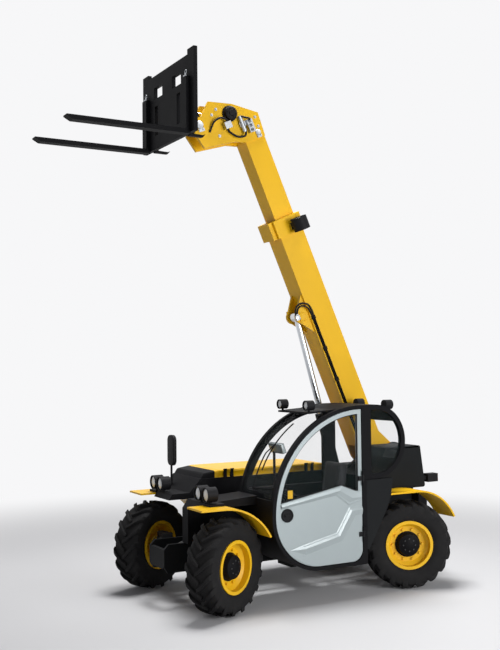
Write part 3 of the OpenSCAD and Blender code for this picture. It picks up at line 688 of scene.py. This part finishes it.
def make_tyre(corner):
    place = wheel_place(corner)
    way = -1 if corner.endswith("left") else 1
    mesh = bmesh.new()
    outer = add_lug(mesh, way)
    copy = bmesh.ops.duplicate(mesh, geom=geometry(outer))["geom"]
    inner = [item for item in copy if isinstance(item, bmesh.types.BMVert)]
    bmesh.ops.scale(mesh, vec=(1, 1, -1), verts=inner)
    half_step = Matrix.Rotation(math.pi / LUGS, 3, "Z")
    bmesh.ops.rotate(mesh, cent=(0, 0, 0), matrix=half_step, verts=inner)
    repeat_round(mesh, mesh.faces, LUGS)
    add_lathe(mesh, CARCASS, Matrix(), segments=96)
    bmesh.ops.transform(mesh, matrix=place, verts=mesh.verts)
    tyre = finish_piece(corner + "_tread", mesh, TYRE, corner + "_wheel")
    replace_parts(tyre, corner + "_tyre")


for corner in WHEELS:
    make_tyre(corner)

# %% [markdown]
# ## Hubs
# The middle of each wheel is a black planetary hub that stands out of the yellow dish. It is turned
# from one profile, and rings of hexagon nuts follow from a six-sided cone that is copied round with
# spin.

# %% Hubs
HUB = (
    (0.0, 0.1315), (0.046, 0.1315), (0.054, 0.126), (0.074, 0.1245), (0.084, 0.118), (0.1085, 0.1105),
    (0.1115, 0.104), (0.122, 0.058), (0.134, 0.0545), (0.134, 0.0443),
)


def add_ring(corner, ending, finish, count, ring, reach, size):
    """Makes one ring of hexagon heads round the axis of a wheel."""
    mesh = bmesh.new()
    base, top = reach
    head = bmesh.ops.create_cone(
        mesh,
        cap_ends=True,
        segments=6,
        radius1=size,
        radius2=size * 0.92,
        depth=top - base,
        matrix=Matrix.Translation((ring, 0, (base + top) / 2)),
    )["verts"]
    faces = list({face for vert in head for face in vert.link_faces})
    repeat_round(mesh, faces, count)
    bmesh.ops.transform(mesh, matrix=wheel_place(corner), verts=mesh.verts)
    finish_piece(corner + ending, mesh, finish, corner + "_wheel")


def make_hub(corner):
    mesh = bmesh.new()
    add_lathe(mesh, HUB, Matrix(), segments=64)
    bmesh.ops.transform(mesh, matrix=wheel_place(corner), verts=mesh.verts)
    finish_piece(corner + "_hub_cover", mesh, BLACK, corner + "_wheel")
    add_ring(corner, "_wheel_nuts", YELLOW, 10, 0.158, (0.044, 0.066), 0.014)
    add_ring(corner, "_hub_bolts", CAST, 8, 0.064, (0.124, 0.1305), 0.008)


for corner in WHEELS:
    make_hub(corner)

# %% [markdown]
# ## Lamps
# The lamp housings are solid metal with a round recess. Each gets a lens: a shallow dome turned from
# one profile, seated in the recess so that the rim of the housing still stands a little proud of it.
# The rear lamps are boxes, so their lenses are rounded plates, red below and amber above.

# %% Lamps
FORWARD = Vector((1, 0, 0))
LEFT = Vector((0, 1, 0))
BOOM_ANGLE = math.radians(66.4)
BOOM = Matrix.Translation(JOINTS["boom_lift"]["pos_m"]) @ Matrix.Rotation(-BOOM_ANGLE, 4, "Y")
LENS = ((0.0, 1.0), (0.35, 0.93), (0.65, 0.72), (0.88, 0.36), (1.0, 0.0), (1.0, -0.4), (0.0, -0.4))
HEAD_LAMPS = [(0.852, across, 1.129) for across in (0.45, 0.62, -0.45, -0.62)]
FRONT_LAMPS = ((-0.196, 0.27, 1.955), (-0.196, 0.77, 1.955))
REAR_LAMPS = ((-1.234, 0.27, 1.937), (-1.234, 0.77, 1.937))
BOOM_LAMP = (2.862, 0.241, -0.145)
HEAD_LENS = {"radius": 0.0635, "rise": 0.015}
WORK_LENS = {"radius": 0.0435, "rise": 0.012}
BOOM_LENS = {"radius": 0.0795, "rise": 0.014}
TAIL_X, TAIL_ACROSS, TAIL_HEIGHT = -2.055, 0.515, 1.10
TAIL_WIDTH = 0.076
TAIL_RISE = 0.007


def add_lens(mesh, place, radius, rise):
    add_lathe(mesh, [(share * radius, height * rise) for share, height in LENS], place, segments=40)


def rounded(width, height, radius, steps=5):
    """Outline of a rectangle with round corners, about its middle."""
    outline = []
    for quarter in range(4):
        across = (1, -1, -1, 1)[quarter] * (width / 2 - radius)
        upward = (1, 1, -1, -1)[quarter] * (height / 2 - radius)
        for step in range(steps + 1):
            angle = math.pi / 2 * (quarter + step / steps)
            outline.append((across + radius * math.cos(angle), upward + radius * math.sin(angle)))
    return outline


def make_lenses():
    mesh = bmesh.new()
    for spot in HEAD_LAMPS:
        add_lens(mesh, frame_of(spot, FORWARD), **HEAD_LENS)
    finish_piece("head_lamp_lenses", mesh, CLEAR_LENS, "chassis")
    mesh = bmesh.new()
    for spot in FRONT_LAMPS:
        add_lens(mesh, frame_of(spot, FORWARD), **WORK_LENS)
    for spot in REAR_LAMPS:
        add_lens(mesh, frame_of(spot, -FORWARD), **WORK_LENS)
    finish_piece("work_lamp_lenses", mesh, CLEAR_LENS, "chassis")
    mesh = bmesh.new()
    add_lens(mesh, BOOM @ frame_of(BOOM_LAMP, FORWARD), **BOOM_LENS)
    finish_piece("boom_lamp_lens", mesh, CLEAR_LENS, "boom")


def make_tail_lenses():
    for name, material, height, drop in (
        ("tail_lamp_lenses", RED_LENS, 0.046, -0.017),
        ("tail_indicator_lenses", AMBER_LENS, 0.028, 0.025),
    ):
        mesh = bmesh.new()
        for across in (TAIL_ACROSS, -TAIL_ACROSS):
            place = frame_of((TAIL_X, across, TAIL_HEIGHT + drop), -FORWARD)
            add_plate(mesh, rounded(TAIL_WIDTH, height, 0.008), TAIL_RISE, place)
        finish_piece(name, mesh, material, "chassis")


make_lenses()
make_tail_lenses()

# %% [markdown]
# ## Mirror
# The mirror is moulded, so its housing is a thick plate with round corners and a softly rolled rim
# instead of a plain box. The glass lies in the rear face, and the post runs down to the engine
# housing.

# %% Mirror
MIRROR_CENTRE = Vector((0.635, -0.68, 1.45))
MIRROR_WIDTH = 0.16
MIRROR_HEIGHT = 0.33
MIRROR_DEPTH = 0.045
MIRROR_RIM = 0.013
POST_FOOT, POST_TOP = (0.615, -0.69, 1.066), (0.615, -0.69, 1.50)
POST_RADIUS = 0.012


def make_mirror():
    mesh = bmesh.new()
    outline = rounded(MIRROR_WIDTH, MIRROR_HEIGHT, 0.06, steps=8)
    add_plate(mesh, outline, MIRROR_DEPTH, frame_of(MIRROR_CENTRE, -FORWARD))
    rim = [edge for edge in mesh.edges if edge.calc_face_angle(0) > 1.0]
    round_edges(mesh, rim, 0.012, 4)
    add_rod(mesh, POST_FOOT, POST_TOP, POST_RADIUS)
    add_block(mesh, (0.598, -0.712, 1.36), (0.632, -0.668, 1.40), 0.006)
    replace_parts(finish_piece("mirror_housing", mesh, PLASTIC, "chassis"), "mirror")
    mesh = bmesh.new()
    face = MIRROR_CENTRE - FORWARD * (MIRROR_DEPTH - 0.0005)
    outline = rounded(MIRROR_WIDTH - 2 * MIRROR_RIM, MIRROR_HEIGHT - 2 * MIRROR_RIM, 0.05, steps=8)
    add_plate(mesh, outline, 0.0015, frame_of(face, -FORWARD))
    finish_piece("mirror_glass", mesh, MIRROR, "chassis")


make_mirror()

# %% [markdown]
# ## Seat
# Each cushion starts as a rounded block a little smaller than the finished pad. It is remeshed into
# small even faces, filled like a balloon with the cloth solver, and no point may move further than a
# cap, so the pad keeps its size. Two sewn channels are then pressed in along it. A bellows under the
# cushion hides the suspension.

# %% Seat
PAD_VOXEL = 0.008
PAD_CAP = 0.010
PAD_PRESSURE = 4
PAD_STEPS = 20
CHANNEL = 0.115
CHANNEL_WIDTH = 0.008
CHANNEL_DEPTH = 0.007
SEAT_MIDDLE = 0.54
BASE_BACK, BASE_FRONT = -0.62, -0.37
BASE_RIGHT, BASE_LEFT = 0.40, 0.68
FOLDS = 6
FOLD_FOOT = 0.432
FOLD_STEP = 0.044
LEAN = Matrix.Translation((-0.690, 0, 0.840)) @ Matrix.Rotation(math.radians(-8), 4, "Y")


def bake_modifiers(pad):
    """Puts the shape that the modifiers give into the mesh itself."""
    graph = bpy.context.evaluated_depsgraph_get()
    shape = bpy.data.meshes.new_from_object(pad.evaluated_get(graph))
    pad.modifiers.clear()
    pad.data = shape


def swell(mesh):
    """Fills a closed mesh as padding would and returns it as a new bmesh."""
    data = bpy.data.meshes.new("pad")
    mesh.to_mesh(data)
    mesh.free()
    pad = bpy.data.objects.new("pad", data)
    bpy.context.scene.collection.objects.link(pad)
    voxels = pad.modifiers.new("voxels", "REMESH")
    voxels.mode = "VOXEL"
    voxels.voxel_size = PAD_VOXEL
    bake_modifiers(pad)
    start = [vert.co.copy() for vert in pad.data.vertices]
    cloth = pad.modifiers.new("fill", "CLOTH").settings
    cloth.use_pressure = True
    cloth.uniform_pressure_force = PAD_PRESSURE
    cloth.effector_weights.gravity = 0
    for step in range(1, PAD_STEPS + 1):
        bpy.context.scene.frame_set(step)
    bake_modifiers(pad)
    bpy.context.scene.frame_set(1)
    for vert, before in zip(pad.data.vertices, start):
        move = vert.co - before
        if move.length > PAD_CAP:
            vert.co = before + move.normalized() * PAD_CAP
    filled = bmesh.new()
    filled.from_mesh(pad.data)
    bpy.data.objects.remove(pad)
    return filled


def make_pad(name, low, high, place):
    mesh = bmesh.new()
    add_block(mesh, low, high, 0.03, place)
    pad = swell(mesh)
    bmesh.ops.smooth_vert(
        pad,
        verts=pad.verts,
        factor=0.5,
        use_axis_x=True,
        use_axis_y=True,
        use_axis_z=True,
    )
    pad.normal_update()
    for vert in pad.verts:
        off_seam = (abs(vert.co.y - SEAT_MIDDLE) - CHANNEL) / CHANNEL_WIDTH
        vert.co -= vert.normal * CHANNEL_DEPTH * math.exp(-off_seam**2)
    piece = finish_piece(name, pad, CLOTH, "chassis", sharp=80)
    smooth = piece.modifiers.new("smooth", "SUBSURF")
    smooth.levels = 1
    smooth.render_levels = 1
    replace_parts(piece, "seat")


def make_seat_base():
    mesh = bmesh.new()
    add_block(mesh, (BASE_BACK, BASE_RIGHT, 0.367), (BASE_FRONT, BASE_LEFT, 0.43), 0.008)
    for fold in range(FOLDS):
        foot = FOLD_FOOT + fold * FOLD_STEP
        narrow = 0.006 if fold % 2 else 0.018
        low = (BASE_BACK + narrow, BASE_RIGHT + narrow, foot)
        high = (BASE_FRONT - narrow, BASE_LEFT - narrow, foot + FOLD_STEP - 0.0005)
        add_block(mesh, low, high, 0.010)
    add_block(mesh, (-0.64, 0.375, 0.697), (-0.27, 0.705, 0.752), 0.010)
    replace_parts(finish_piece("seat_base", mesh, PLASTIC, "chassis"), "seat")


make_pad("seat_cushion", (-0.680, 0.360, 0.752), (-0.240, 0.720, 0.842), Matrix())
make_pad("seat_back", (0.010, 0.370, 0.020), (0.100, 0.710, 0.510), LEAN)
make_seat_base()

# %% [markdown]
# ## Pins and bolts
# A pivot pin ends in a turned cap with a keeper plate and two hexagon bolts beside it, so that it
# can't work its way out. The same small routine makes every cap, on the boom's foot, the lift boss
# and the boom's head.

# %% Pins and bolts
WASHER = 0.25
HEAD_TOP = 0.95
KEEPER_THICKNESS = 0.008


def add_bolt(mesh, spot, along, size):
    """Adds a washer and a hexagon head on a face at a spot, pointing along the face's normal."""
    spot, along = Vector(spot), Vector(along)
    seat, top = spot + along * size * WASHER, spot + along * size * HEAD_TOP
    add_rod(mesh, spot, seat, size * 1.35, segments=20)
    add_rod(mesh, seat, top, size, size * 0.94, segments=6)


def add_pin_cap(mesh, place, radius, keeper):
    """Adds a pin's cap on the XY plane of a place, with its keeper plate along the place's X axis."""
    rim = radius * 0.14
    profile = (
        (0.0, 0.010), (radius * 0.3, 0.010), (radius - rim, 0.012), (radius, 0.012 - rim), (radius, 0.0),
    )
    add_lathe(mesh, profile, place, segments=40)
    middle = place @ Matrix.Translation((radius * 1.25, 0, 0))
    add_plate(mesh, rounded(keeper * 0.5, keeper, 0.006), KEEPER_THICKNESS, middle)
    normal = place.to_3x3() @ UP
    for side in (-1, 1):
        spot = middle @ Vector((0, side * keeper * 0.3, KEEPER_THICKNESS))
        add_bolt(mesh, spot, normal, 0.009)


def make_pin_caps():
    mesh = bmesh.new()
    for side in (-1, 1):
        add_pin_cap(mesh, BOOM @ frame_of((1.866, side * 0.102, -0.46), LEFT * side), 0.046, 0.08)
    finish_piece("lift_pin_caps", mesh, YELLOW, "boom")
    mesh = bmesh.new()
    for side in (-1, 1):
        add_pin_cap(mesh, BOOM @ frame_of((4.146, side * 0.114, -0.797), LEFT * side), 0.044, 0.07)
        add_pin_cap(mesh, BOOM @ frame_of((3.870, side * 0.114, -0.160), LEFT * side), 0.032, 0.06)
    finish_piece("head_pin_caps", mesh, STEEL, "boom_tip")
    mesh = bmesh.new()
    foot = JOINTS["boom_lift"]["pos_m"]
    add_pin_cap(mesh, frame_of((foot[0], -0.180, foot[2]), -LEFT), 0.060, 0.09)
    finish_piece("boom_pivot_cap", mesh, STEEL, "chassis")


make_pin_caps()

# %% [markdown]
# ## Boom head
# The near side of the boom's head carries the hydraulics for the attachment: a round black motor, a
# valve block with its couplings and the hoses between them. Round parts are turned, blocks have
# rounded edges, and each hose is a round section swept along a smooth path that leaves its fitting
# square.

# %% Boom head
HEAD_FACE = 0.114
HEAD_HOSE = 0.0105
MOTOR = (
    (0.0, 0.066), (0.030, 0.066), (0.034, 0.058), (0.060, 0.056), (0.070, 0.048), (0.072, 0.014),
    (0.084, 0.012), (0.084, 0.0),
)
MOTOR_BOLTS = 6
MOTOR_BOLT_RING = 0.050
MOTOR_BOLT_FACE = 0.056


def make_head_motor():
    mesh = bmesh.new()
    place = BOOM @ frame_of((4.150, HEAD_FACE, -0.415), LEFT)
    add_lathe(mesh, MOTOR, place, segments=48)
    for turn in range(MOTOR_BOLTS):
        angle = 2 * math.pi * turn / MOTOR_BOLTS
        across, upward = MOTOR_BOLT_RING * math.cos(angle), MOTOR_BOLT_RING * math.sin(angle)
        spot = place @ Vector((across, upward, MOTOR_BOLT_FACE))
        add_bolt(mesh, spot, place.to_3x3() @ UP, 0.006)
    finish_piece("head_motor", mesh, PLASTIC, "boom_tip")


def make_head_couplings():
    mesh = bmesh.new()
    for along, across in ((3.912, -0.240), (3.962, -0.240), (4.008, -0.240)):
        start = Vector((along, HEAD_FACE + 0.048, across))
        neck, tip = start + LEFT * 0.018, start + LEFT * 0.040
        add_rod(mesh, BOOM @ start, BOOM @ (start + LEFT * 0.020), 0.019, segments=6)
        add_rod(mesh, BOOM @ neck, BOOM @ tip, 0.014, 0.012, segments=24)
    for along in (3.935, 3.965, 4.060):
        start = Vector((along, 0.140, -0.325))
        add_rod(mesh, BOOM @ start, BOOM @ (start + FORWARD * 0.012), 0.028)
    for along, across in ((3.93, -0.13), (4.03, -0.13), (3.97, -0.62), (4.20, -0.62), (4.24, -0.55)):
        add_bolt(mesh, BOOM @ Vector((along, HEAD_FACE, across)), LEFT, 0.012)
    finish_piece("head_couplings", mesh, STEEL, "boom_tip")


def make_head_hoses():
    mesh = bmesh.new()
    routes = (
        ((3.930, 0.150, -0.325), (3.905, 0.158, -0.330), (3.880, 0.160, -0.365), (3.900, 0.150, -0.440),
         (3.970, 0.140, -0.500), (4.010, 0.140, -0.510)),
        ((4.075, 0.150, -0.500), (4.105, 0.158, -0.505), (4.140, 0.160, -0.560), (4.125, 0.150, -0.640),
         (4.075, 0.132, -0.690), (4.040, 0.124, -0.720)),
        ((4.012, 0.170, -0.240), (4.035, 0.186, -0.250), (4.060, 0.180, -0.290), (4.085, 0.155, -0.320)),
    )
    for route in routes:
        add_hose(mesh, [BOOM @ Vector(point) for point in route], HEAD_HOSE)
    finish_piece("head_hoses", mesh, HOSE, "boom_tip", sharp=60)


make_head_motor()
make_head_couplings()
make_head_hoses()

# %% [markdown]
# ## Boom hose
# Two pipes run up the side of the boom. At the lift boss a short hose takes over from each, loops
# round the end of the cylinder and goes into a fitting there.

# %% Boom hose
BOOM_HOSE = 0.0095


def make_boom_hose():
    mesh = bmesh.new()
    loops = (
        ((1.815, 0.133, -0.350), (1.860, 0.134, -0.352), (1.930, 0.136, -0.372), (1.975, 0.134, -0.425),
         (1.965, 0.128, -0.480), (1.925, 0.118, -0.505), (1.895, 0.110, -0.508)),
        ((1.815, 0.133, -0.330), (1.880, 0.136, -0.330), (1.960, 0.138, -0.352), (2.003, 0.134, -0.425),
         (1.990, 0.128, -0.492), (1.935, 0.120, -0.528), (1.895, 0.112, -0.528)),
    )
    for loop in loops:
        add_hose(mesh, [BOOM @ Vector(point) for point in loop], BOOM_HOSE)
    finish_piece("boom_hoses", mesh, HOSE, "boom", sharp=60)
    mesh = bmesh.new()
    add_block(mesh, (1.845, 0.1025, -0.545), (1.897, 0.126, -0.490), 0.004, BOOM)
    for across in (-0.508, -0.528):
        start = Vector((1.895, 0.112, across))
        add_rod(mesh, BOOM @ start, BOOM @ (start + FORWARD * 0.023), 0.013, segments=6)
    finish_piece("boom_hose_fitting", mesh, STEEL, "boom")


make_boom_hose()

# %% [markdown]
# ## Cab trim
# A rubber seal closes the edge of the door's glass, a wiper rests on the windscreen, and the driver
# looks at a small display. The seal follows the arc of the door, so its path comes from the arc's
# centre and radius. The round latch plate on the door has a raised rim and a paddle. The steps in the
# door skin are pressed, so each gets a sloped ridge that leads down to the panel beside it. A small
# yellow plate sits behind the glass.

# %% Cab trim
DOOR_CENTRE = Vector((-0.785, 0, 0.885))
SEAL_ARC = 0.970
SEAL_PLANE = 0.862
SEAL_RADIUS = 0.007
SEAL_REAR = -0.737
SILL = ((0.192, 1.022), (-0.530, 1.153), (-0.705, 1.088), (-0.738, 1.085))
SCREEN_ARC = 1.048
WIPER_FOOT, WIPER_ELBOW = 14, 34
ARM_ACROSS, BLADE_ACROSS = 0.46, 0.53
DOOR_FACE = 0.8763
DOOR_RAISED = 0.8844
DOOR_CREST = 0.8935
SKIN = 0.001
HINGE_X = -0.789
HINGE_FEET = (0.6202, 1.1802)
HINGE_HEIGHT = 0.0496
LOWER_RIDGE = (
    (DOOR_FACE, ((-0.783, 0.935), (-0.702, 0.935), (-0.624, 0.923), (-0.466, 0.687), (-0.050, 0.597))),
    (DOOR_CREST, ((-0.783, 0.893), (-0.705, 0.893), (-0.650, 0.886), (-0.497, 0.651), (-0.090, 0.564))),
    (DOOR_RAISED, ((-0.783, 0.840), (-0.715, 0.840), (-0.695, 0.838), (-0.535, 0.600), (-0.100, 0.505))),
)
RIDGE_END = (
    (DOOR_RAISED, ((-0.100, 0.505), (-0.080, 0.422))),
    (DOOR_FACE, ((0.075, 0.562), (0.030, 0.492))),
)
UPPER_RIDGE = (
    (DOOR_RAISED, ((0.176, 1.008), (-0.533, 1.135), (-0.705, 1.073), (-0.773, 1.069))),
    (DOOR_CREST, ((0.176, 0.990), (-0.505, 1.098), (-0.660, 1.015), (-0.773, 1.020))),
    (DOOR_FACE, ((0.176, 0.966), (-0.462, 1.052), (-0.614, 0.940), (-0.773, 0.977))),
)


def on_arc(radius, degrees, across):
    """A point on an arc about the door's centre, seen from the side."""
    angle = math.radians(degrees)
    return DOOR_CENTRE + Vector((radius * math.cos(angle), across, radius * math.sin(angle)))


def make_seals():
    mesh = bmesh.new()
    arc = [on_arc(SEAL_ARC, degrees, SEAL_PLANE) for degrees in range(9, 88, 6)]
    add_hose(mesh, arc, SEAL_RADIUS, steps=4)
    rear = ((SEAL_REAR, 1.085), (SEAL_REAR, 1.850))
    for (x0, z0), (x1, z1) in (*zip(SILL, SILL[1:]), rear):
        add_rod(mesh, (x0, SEAL_PLANE, z0), (x1, SEAL_PLANE, z1), SEAL_RADIUS, segments=12)
    finish_piece("door_seal", mesh, HOSE, "door", sharp=60)


def make_latch():
    mesh = bmesh.new()
    place = frame_of((0.109, 0.886, 0.903), LEFT)
    profile = ((0.050, 0.0), (0.052, 0.005), (0.058, 0.007), (0.064, 0.005), (0.066, 0.0))
    add_lathe(mesh, profile, place, segments=48)
    add_block(mesh, (-0.034, -0.013, 0.0), (0.034, 0.013, 0.012), 0.005, place)
    finish_piece("door_latch", mesh, PLASTIC, "door")


def make_wiper():
    mesh = bmesh.new()
    arm = (ARM_ACROSS, WIPER_FOOT, WIPER_ELBOW, SCREEN_ARC + 0.014)
    blade = (BLADE_ACROSS, 24, 56, SCREEN_ARC + 0.012)
    for across, start, end, arc in (arm, blade):
        path = [on_arc(arc, start + (end - start) * step / 6, across) for step in range(7)]
        add_hose(mesh, path, 0.007, steps=4)
    elbow = on_arc(SCREEN_ARC + 0.014, WIPER_ELBOW, ARM_ACROSS)
    add_rod(mesh, elbow, on_arc(SCREEN_ARC + 0.012, 40, BLADE_ACROSS), 0.006, segments=12)
    inner, outer = SCREEN_ARC - 0.002, SCREEN_ARC + 0.022
    add_rod(
        mesh,
        on_arc(inner, WIPER_FOOT, ARM_ACROSS),
        on_arc(outer, WIPER_FOOT, ARM_ACROSS),
        0.018,
        segments=24,
    )
    finish_piece("wiper", mesh, PLASTIC, "chassis", sharp=60)


def make_display():
    mesh = bmesh.new()
    place = Matrix.Translation((-0.07, 0.405, 1.515)) @ Matrix.Rotation(math.radians(20), 4, "Y")
    add_block(mesh, (-0.0215, -0.1265, -0.0515), (0.0215, 0.1265, 0.0515), 0.008, place)
    finish_piece("display_case", mesh, SILVER, "chassis")
    mesh = bmesh.new()
    add_block(mesh, (-0.0235, -0.108, -0.038), (-0.0213, 0.108, 0.038), 0.0, place)
    finish_piece("display_screen", mesh, GLASS, "chassis")


def add_strips(mesh, lines):
    """Joins lines of points, each with its own distance from the cab, by rows of faces."""
    rows = []
    for out, points in lines:
        row = [mesh.verts.new((x, out, z)) for x, z in points]
        rows.append([mesh.edges.new(pair) for pair in zip(row, row[1:])])
    for row, other in zip(rows, rows[1:]):
        bmesh.ops.bridge_loops(mesh, edges=row + other)


def make_creases():
    mesh = bmesh.new()
    add_strips(mesh, LOWER_RIDGE)
    add_strips(mesh, RIDGE_END)
    foot, crest, back = ((points[-1][0], out, points[-1][1]) for out, points in LOWER_RIDGE)
    out, points = RIDGE_END[-1]
    tip = (points[0][0], out, points[0][1])
    for corners in ((foot, tip, crest), (crest, tip, back)):
        mesh.faces.new([mesh.verts.new(corner) for corner in corners])
    add_strips(mesh, UPPER_RIDGE)
    bmesh.ops.remove_doubles(mesh, verts=mesh.verts, dist=DOUBLED)
    bmesh.ops.recalc_face_normals(mesh, faces=mesh.faces)
    bmesh.ops.solidify(mesh, geom=mesh.faces[:], thickness=SKIN)
    finish_piece("door_creases", mesh, SILVER, "door", sharp=4)


def make_hinge_covers():
    mesh = bmesh.new()
    for foot in HINGE_FEET:
        top = foot + HINGE_HEIGHT
        add_rod(mesh, (HINGE_X, 0.892, foot), (HINGE_X, 0.892, top), 0.0121, segments=48)
        add_block(mesh, (HINGE_X, 0.8755, foot), (-0.7375, 0.8925, top), 0.002)
    finish_piece("door_hinge_covers", mesh, PLASTIC, "door")


def make_glass_plate():
    mesh = bmesh.new()
    add_plate(mesh, rounded(0.056, 0.080, 0.006), 0.001, frame_of((0.055, 0.8505, 1.098), LEFT))
    finish_piece("glass_plate", mesh, YELLOW, "door")


make_creases()
make_hinge_covers()
make_glass_plate()
make_seals()
make_latch()
make_wiper()
make_display()

# %% [markdown]
# ## Body panels
# The engine lid and the rear cowl are folded panels with soft edges. Each starts as a copy of the
# frame's own mesh, so its form stays, and its long edges are then rounded with bevel. The nose of the
# lid is black in the photograph, so the copy is cut across and each half gets its own finish. The
# pipes along the boom are copied too, because they are painted black there.

# %% Body panels
NOSE_START = 0.34
LID_EDGE = 0.018
LID_FOOT = 1.19
COWL_EDGE = 0.030
COWL_FOOT = 1.0


def copy_node(name):
    """Copies a solid of the frame and joins the triangles of its flat faces again."""
    mesh = bmesh.new()
    mesh.from_mesh(NODES[name].data)
    mesh.transform(NODES[name].matrix_world)
    bmesh.ops.remove_doubles(mesh, verts=mesh.verts, dist=DOUBLED)
    bmesh.ops.dissolve_limit(mesh, angle_limit=math.radians(1), verts=mesh.verts, edges=mesh.edges)
    return mesh


def soften(mesh, offset, lowest):
    """Rounds the long outer edges above a height."""
    edges = [
        edge for edge in mesh.edges
        if edge.calc_length() > 4 * offset
        and edge.calc_face_angle_signed(0) > 0.3
        and min(vert.co.z for vert in edge.verts) > lowest
    ]
    round_edges(mesh, edges, offset, 4)


def make_lid(name, finish, front):
    mesh = copy_node("bonnet")
    soften(mesh, LID_EDGE, LID_FOOT)
    cut = bmesh.ops.bisect_plane(
        mesh,
        geom=mesh.verts[:] + mesh.edges[:] + mesh.faces[:],
        plane_co=(NOSE_START, 0, 0),
        plane_no=(1, 0, 0),
        clear_inner=front,
        clear_outer=not front,
    )
    rim = [item for item in cut["geom_cut"] if isinstance(item, bmesh.types.BMEdge)]
    bmesh.ops.edgeloop_fill(mesh, edges=rim)
    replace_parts(finish_piece(name, mesh, finish, "engine_lid"), "bonnet")


def make_rear_cowl():
    mesh = copy_node("rear_cowl")
    soften(mesh, COWL_EDGE, COWL_FOOT)
    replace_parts(finish_piece("rear_cowl_skin", mesh, CHARCOAL, "chassis"), "rear_cowl")


def make_pipes():
    mesh = copy_node("boom_pipes")
    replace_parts(finish_piece("boom_pipe_run", mesh, BLACK, "boom"), "boom_pipes")


make_pipes()
make_lid("lid_top", YELLOW, False)
make_lid("lid_nose", BLACK, True)
make_rear_cowl()

# %% [markdown]
# ## Bolts and latches
# The counterweight hangs on four large bolts, the engine lid has a pull latch on its outer edge, and
# each fork is held sideways by a spring pin with a ring on top. They are small, but they tell the eye
# how big the machine is.

# %% Bolts and latches
CARRIAGE = Vector(JOINTS["carriage_tilt"]["pos_m"])
RING_RADIUS = 0.020
RING_HEIGHT = 0.050


def make_weight_bolts():
    mesh = bmesh.new()
    for across in (-0.24, 0.24):
        for height in (0.49, 0.84):
            add_bolt(mesh, (-2.110, across, height), -FORWARD, 0.017)
    finish_piece("counterweight_bolts", mesh, CAST, "chassis")


def make_lid_latch():
    mesh = bmesh.new()
    place = frame_of((-0.38, -0.856, 1.212), -LEFT)
    add_plate(mesh, rounded(0.13, 0.044, 0.010), 0.005, place)
    add_block(mesh, (-0.042, -0.010, 0.004), (0.042, 0.012, 0.018), 0.005, place)
    finish_piece("lid_latch", mesh, PLASTIC, "engine_lid")


def make_fork_pins():
    mesh = bmesh.new()
    for across in (-0.488, 0.488):
        foot = CARRIAGE + Vector((0.334, across, 0.348))
        add_rod(mesh, foot, foot + UP * 0.014, 0.026, segments=24)
        add_rod(mesh, foot + UP * 0.012, foot + UP * 0.042, 0.011, segments=24)
        turns = [math.radians(24 * step) for step in range(16)]
        middle = foot + UP * RING_HEIGHT
        ring = [middle + (LEFT * math.cos(turn) + UP * math.sin(turn)) * RING_RADIUS for turn in turns]
        add_hose(mesh, ring, 0.0035, segments=8, steps=2)
    finish_piece("fork_pins", mesh, STEEL, "fork_carriage")


make_weight_bolts()
make_lid_latch()
make_fork_pins()
